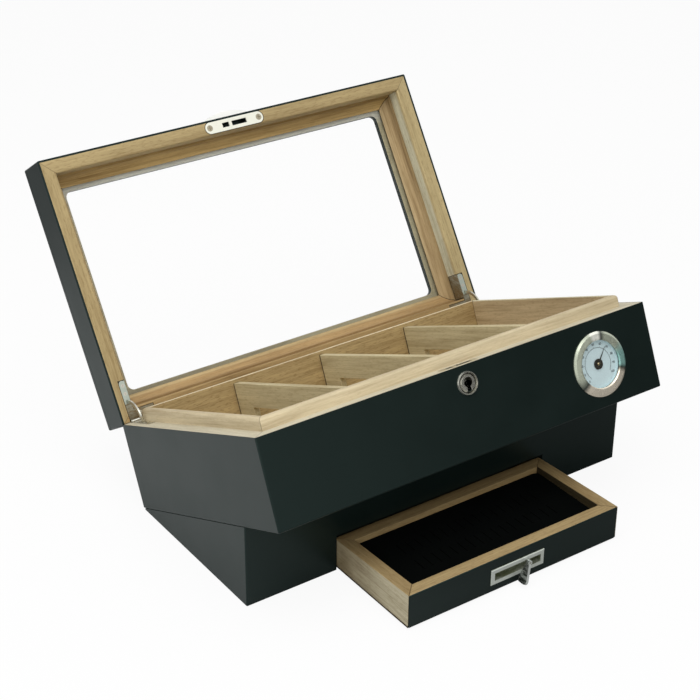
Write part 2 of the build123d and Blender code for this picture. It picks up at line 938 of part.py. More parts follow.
# Mouldings: quarter-round beads that hold the glass against the panel
bead_back = rail_height - glass_thickness
bead_front = bead_back - moulding_height
nose = bead_back - moulding_nose
for side in sides:
    if side in ("front", "back"):
        length = case_width
        at_wall = (0, wall) if side == "front" else (0, case_depth - wall)
        inwards = lid_frame.y_dir * (1 if side == "front" else -1)
    else:
        length = case_depth
        sign = 1 if side == "right" else -1
        at_wall = (sign * (case_width / 2 - wall), case_depth / 2)
        inwards = Vector(-sign, 0, 0)
    origin = lid_frame.from_local_coords((at_wall[0], at_wall[1], 0))
    section = Plane(origin=origin, x_dir=inwards, z_dir=inwards.cross(lid_frame.z_dir))
    with BuildPart() as moulding:
        board_plan = mitred(
            place(lid_frame, z=bead_front),
            case_width,
            case_depth,
            wall,
            wall + moulding_width,
            side,
        )
        extrude(board_plan, amount=moulding_height)
        with BuildSketch(section):
            with BuildLine():
                Polyline(
                    (moulding_width, nose),
                    (moulding_width, bead_back),
                    (0, bead_back),
                    (0, bead_front),
                    (moulding_flat, bead_front),
                )
                RadiusArc(
                    (moulding_flat, bead_front),
                    (moulding_width, nose),
                    moulding_bow,
                )
            make_face()
        extrude(amount=length / 2, both=True, mode=Mode.INTERSECT)
    save(moulding.part, f"moulding_{side}")

with BuildPart() as strike_plate:
    add(strike_plate_block.part)
    add(slot_cutter(strike_seat, slot_height, 0, strike_thickness, 0), mode=Mode.SUBTRACT)
    add(strike_plate_screws, mode=Mode.SUBTRACT)
save(strike_plate.part, "strike_plate")


def slotted_screws(solid, seats, head, name):
    """Save a group of screws, each with its cross recess."""
    with BuildPart() as group:
        add(solid)
        for seat in seats:
            add(cross_recess(seat, head), mode=Mode.SUBTRACT)
    save(group.part, name)


strike_screw_seats = [place(strike_seat, x) for x in (-strike_screw_spread, strike_screw_spread)]
slotted_screws(strike_plate_screws, strike_screw_seats, strike_screw_head, "strike_screws")
lock_screw_seats = [place(lock_seat, x) for x in (-lock_screw_spread, lock_screw_spread)]
slotted_screws(lock_plate_screws, lock_screw_seats, lock_screw_head, "lock_screws")

# Lock
with BuildPart() as lock_case:
    add(lock_plate.part)
    add(lock_body)
    add(
        block(
            case_frame,
            (-lock_body_length / 2 + lock_wall, lock_body_length / 2 - lock_wall),
            (lock_face + lock_wall, lock_back - lock_wall),
            (lock_foot + lock_wall, case_height - lock_plate_thickness),
        ),
        mode=Mode.SUBTRACT,
    )
    cut = slot_cutter(lock_seat, slot_height, 0, lock_plate_thickness, 0)
    add(cut, mode=Mode.SUBTRACT)
    add(lock_plate_screws, mode=Mode.SUBTRACT)
    add(keyhole(lock_back), mode=Mode.SUBTRACT)
save(lock_case.part, "lock_case")

bar_top = case_height - lock_plate_thickness - arm_play - bolt_travel
bar_thickness = lock_plate_width - 2 * lock_wall - 2 * running_gap
with BuildPart() as lock_bolt:
    add(
        block(
            case_frame,
            (pocket_start + claw_play, pocket_end - claw_play),
            (lock_from_front - bar_thickness / 2, lock_from_front + bar_thickness / 2),
            (bar_top - bolt_bar_height, bar_top),
        )
    )
    claw_height = case_height - claw_below_rim - bar_top + bolt_bar_overlap
    add(slot_cutter(lock_seat, claw_thickness, claw_play, claw_height, -claw_below_rim))
save(lock_bolt.part, "lock_bolt")

# Escutcheon: a turned ring with a raised rim, pressed into the case's front
rim_inner = escutcheon_radius - escutcheon_rim
groove_inner = rim_inner - escutcheon_groove
escutcheon_profile = (
    (0, -lock_face),
    (escutcheon_spigot, -lock_face),
    (escutcheon_spigot, 0),
    (escutcheon_radius, 0),
    (escutcheon_radius, escutcheon_groove_floor),
    (escutcheon_radius - escutcheon_rim_slope, escutcheon_proud),
    (rim_inner + escutcheon_rim_slope, escutcheon_proud),
    (rim_inner, escutcheon_groove_floor),
    (groove_inner, escutcheon_groove_floor),
    (groove_inner - escutcheon_rim_slope, escutcheon_disc),
    (0, escutcheon_disc),
)
with BuildPart() as lock_escutcheon:
    add(turned(keyhole_seat, escutcheon_profile))
    add(keyhole(lock_face), mode=Mode.SUBTRACT)
save(lock_escutcheon.part, "lock_escutcheon")

# Hygrometer: cup, dial, glass and bezel
cup_inner = cup_radius - cup_wall
dial_foot = -dial_drop - dial_thickness
cup_profile = (
    (0, -cup_depth),
    (cup_radius, -cup_depth),
    (cup_radius, 0),
    (cup_inner, 0),
    (cup_inner, dial_foot),
    (cup_inner - cup_shoulder, dial_foot),
    (cup_inner - cup_shoulder, cup_wall - cup_depth),
    (0, cup_wall - cup_depth),
)
with BuildPart() as hygrometer_cup:
    add(turned(gauge_seat, cup_profile))
    with BuildSketch(place(gauge_seat, z=-cup_depth)):
        with PolarLocations(vent_circle, vent_count):
            SlotOverall(vent_length, vent_width)
    extrude(amount=cup_wall, mode=Mode.SUBTRACT)
save(hygrometer_cup.part, "hygrometer_cup")

dial_radius = cup_inner - gauge_gap
dial_profile = (
    (spindle_radius + pin_clearance, dial_foot),
    (dial_radius, dial_foot),
    (dial_radius, 0),
    (dial_radius - dial_rim, 0),
    (dial_radius - dial_rim, -dial_drop),
    (spindle_radius + pin_clearance, -dial_drop),
)
with BuildPart() as hygrometer_dial:
    add(turned(gauge_seat, dial_profile))
save(hygrometer_dial.part, "hygrometer_dial")

with BuildPart() as hygrometer_glass:
    with BuildSketch(gauge_seat):
        Circle(bezel_seat - gauge_gap)
    extrude(amount=gauge_glass)
save(hygrometer_glass.part, "hygrometer_glass")

bezel_profile = (
    (bezel_seat, 0),
    (bezel_radius, 0),
    (bezel_radius, bezel_edge),
    (bezel_radius - bezel_slope, bezel_shoulder),
    (bezel_lip + bezel_ridge, bezel_proud),
    (bezel_lip + bezel_lip_round, bezel_proud),
    (bezel_lip, bezel_proud - bezel_lip_round),
    (bezel_lip, gauge_glass),
    (bezel_seat, gauge_glass),
)
with BuildPart() as hygrometer_bezel:
    add(turned(gauge_seat, bezel_profile))
save(hygrometer_bezel.part, "hygrometer_bezel")

hub_foot = hub_lift - dial_drop
with BuildPart() as hygrometer_needle:
    with BuildSketch(place(gauge_seat, z=hub_foot)):
        Circle(hub_radius)
    extrude(amount=hub_height)
    with BuildSketch(place(gauge_seat, z=hub_foot)):
        Circle(spindle_radius)
    extrude(amount=-hub_lift - dial_thickness - spindle_length)
    needle_middle = place(gauge_seat, z=hub_foot + needle_lift).origin
    needle_plane = Plane(
        origin=needle_middle,
        x_dir=gauge_seat.x_dir.rotate(Axis(needle_middle, gauge_seat.z_dir), -needle_angle),
        z_dir=gauge_seat.z_dir,
    )
    with BuildSketch(needle_plane):
        with BuildLine():
            Polyline(
                (0, needle_length),
                (-needle_width / 2, 0),
                (-needle_width / 2, -needle_tail),
                (needle_width / 2, -needle_tail),
                (needle_width / 2, 0),
                close=True,
            )
        make_face()
    extrude(amount=needle_thickness)
save(hygrometer_needle.part, "hygrometer_needle")


# Hinges: the left one is modelled, the right one is its mirror image
def save_pair(solid, name):
    """Save a left-hand piece and its mirror image."""
    with BuildPart() as right_hand:
        mirror(solid, about=Plane.YZ)
    save(solid, name + "_left")
    save(right_hand.part, name + "_right")


def leaf(frame, into, knuckles, clear_knuckles, flange):
    """A hinge leaf with its knuckles, let into the rim flush, with slots for arm and screws."""
    with BuildPart() as plate:
        extrude(leaf_plan(frame), amount=into * leaf_thickness)
        if flange is not None:
            add(flange)
        for start, end in clear_knuckles:
            cleared = knuckle_radius + arm_play
            cleared_rod = hinge_rod(start - knuckle_gap, end + knuckle_gap, cleared)
            add(cleared_rod, mode=Mode.SUBTRACT)
        for start, end in knuckles:
            add(hinge_rod(start, end, knuckle_radius))
        add(
            hinge_rod(leaf_start, leaf_back_end, hinge_pin_radius + pin_clearance),
            mode=Mode.SUBTRACT,
        )
        slot_start = left_end + arm_place - arm_play
        add(
            block(
                frame,
                (slot_start, slot_start + arm_thickness + 2 * arm_play),
                (hinge_y - arm_outer - arm_play, hinge_y - arm_inner + arm_play),
                (-leaf_thickness, leaf_thickness),
            ),
            mode=Mode.SUBTRACT,
        )
        for seat in screw_seats(frame, into):
            add(
                screw(seat, hinge_screw_head, hinge_screw_shank, hinge_screw_length),
                mode=Mode.SUBTRACT,
            )
    return plate.part


outer_knuckles = (
    (leaf_start, leaf_start + knuckle_length),
    (leaf_back_end - knuckle_length, leaf_back_end),
)
middle_knuckle = ((middle_start, middle_end),)
save_pair(leaf(case_rim, -1, outer_knuckles, middle_knuckle, None), "hinge_case_leaf")
save_pair(leaf(lid_frame, 1, middle_knuckle, outer_knuckles, flange_cut), "hinge_lid_leaf")
save_pair(hinge_rod(leaf_start, leaf_back_end, hinge_pin_radius), "hinge_pin")

with BuildPart() as hinge_arm:
    arm_plane = across_hinge(arm_place)
    arm_end = lid_open_angle + arm_sunk_angle
    arc = sector(arm_plane, arm_inner, arm_outer, -arm_sunk_angle, arm_end)
    extrude(arc, amount=-arm_thickness)
    for start in (-arm_sunk_angle, arm_end - arm_head_angle):
        head = sector(arm_plane, head_inner, head_outer, start, start + arm_head_angle)
        extrude(head, amount=-arm_thickness)
save_pair(hinge_arm.part, "hinge_arm")

for frame, into, name in ((case_rim, -1, "hinge_case_screws"), (lid_frame, 1, "hinge_lid_screws")):
    with BuildPart() as hinge_screws:
        for seat in screw_seats(frame, into):
            add(screw(seat, hinge_screw_head, hinge_screw_shank, hinge_screw_length))
            add(cross_recess(seat, hinge_screw_head), mode=Mode.SUBTRACT)
    with BuildPart() as both_sides:
        add(hinge_screws.part)
        mirror(hinge_screws.part, about=Plane.YZ)
    save(both_sides.part, name)
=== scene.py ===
"""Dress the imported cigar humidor: its finishes, printed dial and foam insert, in a white studio."""

import json
import logging
import math
from dataclasses import dataclass, field
from enum import Enum
from functools import reduce
from typing import Callable, Iterable, Sequence

import bmesh
import bpy
from mathutils import Matrix, Vector


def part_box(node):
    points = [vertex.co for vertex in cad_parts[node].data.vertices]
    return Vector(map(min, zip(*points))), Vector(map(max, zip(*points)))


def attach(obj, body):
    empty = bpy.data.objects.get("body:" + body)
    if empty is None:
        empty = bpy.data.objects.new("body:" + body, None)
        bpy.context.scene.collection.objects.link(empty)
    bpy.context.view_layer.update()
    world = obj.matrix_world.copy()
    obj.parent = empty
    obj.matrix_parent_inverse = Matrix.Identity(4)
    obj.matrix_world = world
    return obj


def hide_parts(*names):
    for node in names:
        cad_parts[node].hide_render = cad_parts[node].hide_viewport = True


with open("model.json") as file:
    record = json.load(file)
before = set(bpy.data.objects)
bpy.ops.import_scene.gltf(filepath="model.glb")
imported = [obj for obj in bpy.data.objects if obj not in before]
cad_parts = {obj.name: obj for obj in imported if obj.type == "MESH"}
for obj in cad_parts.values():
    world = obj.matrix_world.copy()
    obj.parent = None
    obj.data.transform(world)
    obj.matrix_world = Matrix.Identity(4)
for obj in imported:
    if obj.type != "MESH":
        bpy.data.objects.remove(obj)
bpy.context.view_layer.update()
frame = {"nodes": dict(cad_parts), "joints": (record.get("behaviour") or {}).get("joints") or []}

MM = 0.001
PHOTO_PIXELS = 700
WHITE = (1.0, 1.0, 1.0, 1.0)
COLOUR_A, COLOUR_B, COLOUR_RESULT = 6, 7, 2
Colour = tuple[float, float, float]
Numbers = Sequence[float]
Stops = Sequence[tuple[float, Colour]]
log = logging.getLogger("humidor")


class Along(Enum):
    """The way that a board's grain runs, as the axis of its own frame."""

    WIDTH = 0
    DEPTH = 1
    HEIGHT = 2

    @classmethod
    def of(cls, side: str) -> "Along":
        """The way of the board on a side: across for front and back, else in depth."""
        return cls.WIDTH if side in ("front", "back") else cls.DEPTH


def _operator(operation: str, swapped: bool = False) -> Callable[..., "Shade"]:
    """Make a method that stands for a Math node, with its own value last where swapped."""
    def method(self: "Shade", *others: "Shade | float") -> "Shade":
        """Add the node to the value's tree."""
        terms = (*others, self) if swapped else (self, *others)
        return self.finish.node("ShaderNodeMath", {"operation": operation}, dict(enumerate(terms)))

    return method


class Shade:
    """A socket of a shader tree, with Python's operators standing for Math nodes."""

    def __init__(self, finish: "Finish", socket: bpy.types.NodeSocket) -> None:
        """Hold an output socket, and the finish whose tree it belongs to."""
        self.finish = finish
        self.socket = socket

    __add__ = _operator("ADD")
    __radd__ = _operator("ADD", swapped=True)
    __sub__ = _operator("SUBTRACT")
    __rsub__ = _operator("SUBTRACT", swapped=True)
    __mul__ = _operator("MULTIPLY")
    __rmul__ = _operator("MULTIPLY", swapped=True)
    __gt__ = _operator("GREATER_THAN")
    __lt__ = _operator("LESS_THAN")
    __abs__ = _operator("ABSOLUTE")
    __or__ = _operator("MAXIMUM")
    __and__ = _operator("MINIMUM")
    turn = _operator("ARCTAN2")

    def _number(self, axis: str) -> "Shade":
        """One of a position's three numbers."""
        return self.finish.node("ShaderNodeSeparateXYZ", inputs={0: self}, output=axis)

    @property
    def x(self) -> "Shade":
        """A position's first number."""
        return self._number("X")

    @property
    def y(self) -> "Shade":
        """A position's second number."""
        return self._number("Y")

    @property
    def z(self) -> "Shade":
        """A position's third number."""
        return self._number("Z")

    def scaled(self, scale: Numbers, shift: Numbers = (0, 0, 0)) -> "Shade":
        """Stretch and shift a position."""
        inputs = {"Vector": self, "Scale": scale, "Location": shift}
        return self.finish.node("ShaderNodeMapping", inputs=inputs)

    def noise(self, scale: float, detail: float = 3.0, rough: float = 0.5) -> "Shade":
        """Read smooth noise of a frequency, with this many finer layers of a strength."""
        inputs = {"Vector": self, "Scale": scale, "Detail": detail, "Roughness": rough}
        return self.finish.node("ShaderNodeTexNoise", inputs=inputs)

    def between(self, low: float, high: float, to: Numbers = (0.0, 1.0)) -> "Shade":
        """Map the values from low to high to another stretch, smoothly and clamped."""
        settings = {"interpolation_type": "SMOOTHSTEP"}
        inputs = {"Value": self, "From Min": low, "From Max": high, "To Min": to[0], "To Max": to[1]}
        return self.finish.node("ShaderNodeMapRange", settings, inputs)

    def ramp(self, stops: Stops) -> "Shade":
        """Turn a value into a colour."""
        return self.finish.node("ShaderNodeValToRGB", {"stops": stops}, {"Fac": self})

    def bump(self, depth: float, strength: float) -> "Shade":
        """Bend the normal by this height, where 1 stands for a depth in metres."""
        inputs = {"Height": self, "Distance": depth, "Strength": strength}
        return self.finish.node("ShaderNodeBump", inputs=inputs)


@dataclass(frozen=True)
class Slope:
    """A frame turned about X, such as the tilted case's: x across, y to its back, z up."""

    angle: float
    origin: Vector

    @property
    def matrix(self) -> Matrix:
        """The frame's matrix, from its own coordinates to the row's."""
        return Matrix.Translation(self.origin) @ Matrix.Rotation(-self.angle, 4, "X")

    def point(self, x: float, y: float, z: float) -> Vector:
        """Turn a point of this frame into one of the row's."""
        return self.matrix @ Vector((x, y, z))


class Finish:
    """A material, or the world, under construction: its node tree and the ways of adding to it."""

    def __init__(self, name: str, kind: str = "Material") -> None:
        """Start an empty material, or an empty world where the kind is World."""
        self.kind = kind
        blocks = bpy.data.worlds if kind == "World" else bpy.data.materials
        self.block = blocks.new(name)
        self.block.use_nodes = True
        self.tree = self.block.node_tree
        self.tree.nodes.clear()

    def node(
        self,
        kind: str,
        settings: dict[str, object] | None = None,
        inputs: dict[int | str, object] | None = None,
        output: int | str = 0,
    ) -> Shade:
        """Add any node: its settings first, then the values or links of its sockets.

        Args:
            kind: The node's type.
            settings: Properties set before the sockets, with a ramp's stops under "stops".
            inputs: Values or Shades by the socket's name or number.
            output: The output socket wanted.

        Returns:
            The output socket, wrapped.
        """
        node = self.tree.nodes.new(kind)
        for key, value in (settings or {}).items():
            if key == "stops":
                self._stops(node.color_ramp, value)
            else:
                setattr(node, key, value)
        for key, value in (inputs or {}).items():
            socket = node.inputs[key]
            if isinstance(value, Shade):
                self.tree.links.new(value.socket, socket)
            else:
                socket.default_value = value
        return Shade(self, node.outputs[output])

    @staticmethod
    def _stops(ramp: bpy.types.ColorRamp, stops: Stops) -> None:
        """Give a colour ramp its stops."""
        while len(ramp.elements) < len(stops):
            ramp.elements.new(1.0)
        for element, (place, colour) in zip(ramp.elements, stops):
            element.position = place
            element.color = (*colour, 1.0)

    def place(self, slope: Slope | None = None) -> Shade:
        """Object coordinates in metres, turned into a slope's own frame where one is given."""
        here = self.node("ShaderNodeTexCoord", output="Object")
        if slope is None:
            return here
        inverse = slope.matrix.inverted()
        inputs = {
            "Vector": here,
            "Location": inverse.to_translation(),
            "Rotation": inverse.to_euler(),
        }
        return self.node("ShaderNodeMapping", inputs=inputs)

    def mix(self, factor: Shade | float, first: object, second: object, way: str = "MIX") -> Shade:
        """Mix two colours.

        Args:
            factor: How much of the second one is seen.
            first: A colour or a Shade.
            second: A colour or a Shade.
            way: The blend type.

        Returns:
            The mixed colour.
        """
        settings = {"data_type": "RGBA", "blend_type": way}
        first, second = (c if isinstance(c, Shade) else (*c, 1.0) for c in (first, second))
        inputs = {0: factor, COLOUR_A: first, COLOUR_B: second}
        return self.node("ShaderNodeMix", settings, inputs, COLOUR_RESULT)

    def blend(self, factor: Shade | float, first: Shade, second: Shade) -> Shade:
        """Mix two shaders, the second by the factor."""
        return self.node("ShaderNodeMixShader", inputs={0: factor, 1: first, 2: second})

    def rays(self, *kinds: str) -> Shade:
        """The mask for rays of any of these kinds, by the Light Path node's names."""
        return reduce(Shade.__or__, (self.node("ShaderNodeLightPath", output=k) for k in kinds))

    def principled(self, **sockets: object) -> Shade:
        """Add a Principled shader, its sockets given by name with underscores for spaces."""
        inputs: dict[int | str, object] = {}
        for name, value in sockets.items():
            colour = isinstance(value, tuple) and len(value) == 3
            inputs[name.replace("_", " ")] = (*value, 1.0) if colour else value
        return self.node("ShaderNodeBsdfPrincipled", inputs=inputs)

    def close(self, shader: Shade) -> "Finish":
        """Send a shader to the output."""
        output = self.tree.nodes.new(f"ShaderNodeOutput{self.kind}")
        self.tree.links.new(shader.socket, output.inputs["Surface"])
        return self


Mask = Callable[[Shade], Shade]


def either(first: Mask, second: Mask) -> Mask:
    """Join two masks into one that is 1 where either of them is."""
    return lambda here: first(here) | second(here)


@dataclass(frozen=True)
class Tinge:
    """A colour that multiplies the wood's own where a mask says so."""

    mask: Mask
    colour: Colour


@dataclass(frozen=True)
class Grain:
    """One layer of a wood's figure: noise that is long along the grain and short across it."""

    along: float
    across: float
    detail: float
    rough: float = 0.6

    def drawn(self, here: Shade, way: Along, seed: float) -> Shade:
        """Draw the layer on a board whose grain runs this way, shifted by the board's seed."""
        stretch = [self.along if axis is way else self.across for axis in Along]
        shift = (seed, seed * 0.7, seed * 1.3)
        return here.scaled(stretch, shift).noise(1.0, self.detail, self.rough)


BANDS = Grain(3.0, 70.0, 3.0)
FIBRES = Grain(22.0, 620.0, 4.0, 0.65)
DASHES = Grain(160.0, 900.0, 2.0)
FLAME = Grain(11.0, 90.0, 5.0)
DARK_GRAIN = (1.0, 1.15, 1.35)
PALE_GRAIN = (0.75, 0.8, 0.9)
FLECK = (0.52, 0.44, 0.34)


@dataclass(frozen=True)
class Timber:
    """One kind of bare wood: its colour, and how much its figure and speckles stray from it."""

    colour: Colour
    contrast: float
    speckle: float

    def _stops(self) -> Stops:
        """The ramp from the darkest grain to the palest."""
        spread = self.contrast
        dark = tuple(c * (1 - spread * s) for c, s in zip(self.colour, DARK_GRAIN))
        pale = tuple(c * (1 + spread * s) for c, s in zip(self.colour, PALE_GRAIN))
        return [(0.38, dark), (0.5, self.colour), (0.62, pale)]

    def paint(self, here: Shade, way: Along, seed: float) -> tuple[Shade, Shade]:
        """Draw the grain of a board.

        Args:
            here: The position in the board's own frame.
            way: The way that the grain runs.
            seed: A shift that makes each board its own.

        Returns:
            The colour, and a height for the bump of the pores.
        """
        layers = (BANDS, FIBRES, DASHES, FLAME)
        bands, fibres, dashes, flame = (layer.drawn(here, way, seed) for layer in layers)
        colour = (bands * 0.35 + fibres * 0.35 + flame * 0.3).ramp(self._stops())
        flecks = dashes.between(0.52, 0.68)
        fleck = tuple(c * s for c, s in zip(self.colour, FLECK))
        colour = here.finish.mix(flecks * self.speckle, colour, fleck)
        return colour, fibres * 0.6 - flecks * 0.5


RIM_WOOD = Timber((0.405, 0.305, 0.145), 0.30, 0.40)
# Painted light: a lighter copy of the rim wood for the lid's right rail, which catches more light
# than the others.
LIT_RIGHT_RIM_WOOD = Timber((0.470, 0.370, 0.185), 0.30, 0.40)
LIP_WOOD = Timber((0.575, 0.480, 0.308), 0.28, 0.14)
LEDGE_WOOD = Timber((0.600, 0.550, 0.410), 0.20, 0.20)
LINING_WOOD = Timber((0.440, 0.318, 0.144), 0.40, 0.55)
END_WOOD = Timber((0.545, 0.420, 0.242), 0.32, 0.30)
DIVIDER_WOOD = Timber((0.585, 0.500, 0.295), 0.30, 0.25)
BEAD_WOOD = Timber((0.375, 0.245, 0.106), 0.36, 0.20)
# Painted light: lighter copies of the bead wood for the right and front mouldings, which are lit more
# than the others.
LIT_RIGHT_BEAD_WOOD = Timber((0.395, 0.285, 0.142), 0.42, 0.15)
LIT_TOP_BEAD_WOOD = Timber((0.450, 0.310, 0.124), 0.42, 0.20)
LOW_RIM_WOOD = Timber((0.360, 0.240, 0.100), 0.34, 0.25)
PANEL_WOOD = Timber((0.385, 0.345, 0.220), 0.16, 0.10)
DRAWER_WOOD = Timber((0.350, 0.252, 0.118), 0.36, 0.35)
WOOD_IOR = 1.38
JOINT: Colour = (0.035, 0.022, 0.008)
LACQUER: Colour = (0.0048, 0.0088, 0.0078)
LACQUER_HAZE: Colour = tuple(channel * 1.3 for channel in LACQUER)
LACQUER_SHEEN: Colour = (0.72, 1.0, 0.94)
LACQUER_IOR = 1.33


@dataclass(frozen=True)
class Mitred:
    """The outline of four boards that meet in mitres, in the boards' own frame."""

    half_width: float
    depth: float
    start: float = 0.0
    line: float = 0.4 * MM
    faintness: float = 0.45

    def edges(self, here: Shade) -> tuple[Shade, Shade]:
        """How far a point is from the nearer end, and from the nearer of front and back."""
        middle = self.start + self.depth / 2
        return self.half_width - abs(here.x), self.depth / 2 - abs(here.y - middle)

    def joints(self, here: Shade) -> Shade:
        """The mask for the thin dark lines where two boards meet."""
        from_end, from_edge = self.edges(here)
        return abs(from_end - from_edge) < self.line

    def seams(self, here: Shade) -> Shade:
        """The same lines, glued so tight that they are faint."""
        return self.joints(here) * self.faintness

    def inward(self, here: Shade) -> Shade:
        """How far a point lies inside the outline."""
        from_end, from_edge = self.edges(here)
        return from_end & from_edge


@dataclass(frozen=True)
class Board:
    """Where a board stands and how its grain runs."""

    name: str
    slope: Slope | None
    along: Along
    seed: float
    tinges: tuple[Tinge, ...] = ()

    def wood(self, here: Shade, timber: Timber, stain: Mask | None) -> Shade:
        """Bare, finely sanded wood.

        Args:
            here: The position in the board's frame.
            timber: The kind of wood.
            stain: The mask for its dark joints, or None.

        Returns:
            Its shader.
        """
        finish = here.finish
        colour, height = timber.paint(here, self.along, self.seed)
        for tinge in self.tinges:
            tinged = finish.mix(1.0, colour, tinge.colour, "MULTIPLY")
            colour = finish.mix(tinge.mask(here), colour, tinged)
        if stain is not None:
            colour = finish.mix(stain(here), colour, JOINT)
        return finish.principled(
            Base_Color=colour,
            Roughness=height.between(0.0, 0.5, (0.7, 0.55)),
            Normal=height.bump(0.12 * MM, 0.5),
            IOR=WOOD_IOR,
        )

    def bare(self, timber: Timber, stain: Mask | None = None) -> Finish:
        """Bare wood all over, with dark joints where a mask says so."""
        finish = Finish(self.name)
        return finish.close(self.wood(finish.place(self.slope), timber, stain))

    def lacquered(
        self, timber: Timber | None = None, bare: Mask | None = None, stain: Mask | None = None
    ) -> Finish:
        """Satin black lacquer, with bare wood where a mask says so.

        Args:
            timber: The wood under the lacquer, or None where none shows.
            bare: The mask for the bare wood.
            stain: The mask for dark joints in the bare wood.

        Returns:
            The finish.
        """
        finish = Finish(self.name)
        here = finish.place(self.slope)
        haze = here.noise(22.0)
        lacquer = finish.principled(
            Base_Color=finish.mix(haze, LACQUER, LACQUER_HAZE),
            Roughness=haze.between(0.3, 0.75, (0.30, 0.36)),
            Normal=here.noise(240.0, 2.0).bump(0.03 * MM, 0.3),
            Specular_Tint=LACQUER_SHEEN,
            IOR=LACQUER_IOR,
        )
        if timber is None or bare is None:
            return finish.close(lacquer)
        return finish.close(finish.blend(bare(here), lacquer, self.wood(here, timber, stain)))


@dataclass(frozen=True)
class Metal:
    """A polished or brushed metal, with faint smears and hairline scratches."""

    colour: Colour
    roughness: float
    metallic: float = 1.0
    smears: float = 0.08
    smear_shade: float = 0.86
    shade_share: float = 0.6

    def finish(
        self, name: str, shade_mask: Mask | None = None, dull: Colour = (0.0, 0.0, 0.0)
    ) -> Finish:
        """Build the material.

        Args:
            name: The material's name.
            shade_mask: The mask for painted shade or painted reflection on the metal, or None.
            dull: The colour there.

        Returns:
            The finish.
        """
        finish = Finish(name)
        here = finish.place()
        smear = here.noise(60.0, 4.0, 0.6)
        darker = tuple(channel * self.smear_shade for channel in self.colour)
        colour = finish.mix(smear.between(0.45, 0.8), self.colour, darker)
        # Painted shade or reflection, streaked, where the mask says so.
        if shade_mask is not None:
            streaks = here.scaled((90.0, 90.0, 500.0)).noise(1.0, 3.0, 0.7)
            patchy = finish.mix(streaks.between(0.4, 0.65), dull, self.colour)
            colour = finish.mix(shade_mask(here), colour, finish.mix(self.shade_share, patchy, dull))
        scratches = here.scaled((3000.0, 200.0, 1200.0)).noise(1.0, 2.0)
        rough = (self.roughness, self.roughness + self.smears)
        return finish.close(finish.principled(
            Base_Color=colour,
            Metallic=self.metallic,
            Roughness=smear.between(0.35, 0.75, rough),
            Normal=scratches.bump(0.004 * MM, 0.5),
        ))


BRIGHT_NICKEL = Metal((0.87, 0.87, 0.75), 0.28, 0.6)
NICKEL = Metal((0.55, 0.54, 0.47), 0.26)
LOCK_NICKEL = Metal((0.66, 0.65, 0.57), 0.24)
# Painted shade: a darker, greener copy of nickel for the lid leaves, which reflect a darker part of
# the room.
SHADED_NICKEL = Metal((0.46, 0.51, 0.44), 0.32, 0.8)
PULL_NICKEL = Metal((0.64, 0.68, 0.62), 0.34, 0.5)
TAB_NICKEL = Metal((0.80, 0.84, 0.80), 0.20, 0.7)
PALE_NICKEL = Metal((0.98, 0.98, 0.93), 0.30, 0.5)
STEEL = Metal((0.60, 0.58, 0.50), 0.30)
WORN_STEEL = Metal((0.42, 0.38, 0.28), 0.32)
BRASS = Metal((0.52, 0.42, 0.24), 0.28)
# Painted reflections on the bezel: tints, glints and shadows by the share of a turn round the ring.
WARM: Colour = (0.82, 0.74, 0.60)
GREENISH: Colour = (0.48, 0.52, 0.41)
TEAL: Colour = (0.30, 0.55, 0.50)
GLINT: Colour = (1.0, 1.0, 0.9)
SHADOW: Colour = (0.05, 0.06, 0.05)
RING_SPECKS: Colour = (0.20, 0.20, 0.16)
RING_REFLECTIONS: Stops = (
    (0.12, WARM), (0.15, SHADOW), (0.20, GREENISH),
    (0.46, GREENISH), (0.48, GLINT), (0.52, GLINT),
    (0.54, SHADOW), (0.57, GREENISH), (0.66, GREENISH),
    (0.72, TEAL), (0.79, TEAL), (0.81, SHADOW), (0.84, WARM),
)


def ring_sheen(name: str, slope: Slope, centre: Numbers) -> Finish:
    """A turned ring with painted reflections, glints and shadows round its circle.

    Args:
        name: The material's name.
        slope: The frame whose front face the ring lies on.
        centre: The ring's centre in that frame, across and up.

    Returns:
        The finish.
    """
    finish = Finish(name)
    on_ring, here = finish.place(slope), finish.place()
    turn = (on_ring.x - centre[0]).turn(on_ring.z - centre[1])
    colour = (turn * (0.5 / math.pi) + 0.5).ramp(RING_REFLECTIONS)
    colour = finish.mix(here.noise(900.0, 2.0).between(0.5, 0.8) * 0.3, colour, RING_SPECKS)
    rough = here.noise(160.0).between(0.35, 0.75, (0.24, 0.34))
    return finish.close(finish.principled(Base_Color=colour, Metallic=0.55, Roughness=rough))


def plastic(name: str, colour: Colour, roughness: float) -> Finish:
    """Moulded or painted plastic of a colour and roughness, with a fine grain."""
    finish = Finish(name)
    here = finish.place()
    shade = finish.mix(here.noise(90.0, 2.0), colour, tuple(c * 0.88 for c in colour))
    grain = here.noise(1400.0).bump(0.02 * MM, 0.6)
    return finish.close(finish.principled(Base_Color=shade, Roughness=roughness, Normal=grain))


def clear_glass(name: str, blur: float = 0.02, least: float = 0.012) -> Finish:
    """Flat clear glass, whose reflection grows from its least as it is looked at slantwise."""
    finish = Finish(name)
    through = finish.node("ShaderNodeBsdfTransparent", inputs={"Color": WHITE})
    gloss = finish.node("ShaderNodeBsdfGlossy", inputs={"Color": WHITE, "Roughness": blur})
    slant = finish.node("ShaderNodeLayerWeight", inputs={"Blend": 0.5}, output="Facing")
    squared = slant * slant
    return finish.close(finish.blend(squared * squared * slant + least, through, gloss))


def flocked_foam(name: str) -> Finish:
    """Black flocked foam, so matt that it swallows light."""
    finish = Finish(name)
    here = finish.place()
    colour = finish.mix(here.noise(45.0), (0.0012, 0.0016, 0.0014), (0.0026, 0.0032, 0.0030))
    nap = here.noise(2600.0, 3.0, 0.7).bump(0.3 * MM, 0.7)
    return finish.close(finish.principled(
        Base_Color=colour, Roughness=1.0, Normal=nap, Specular_IOR_Level=0.02
    ))


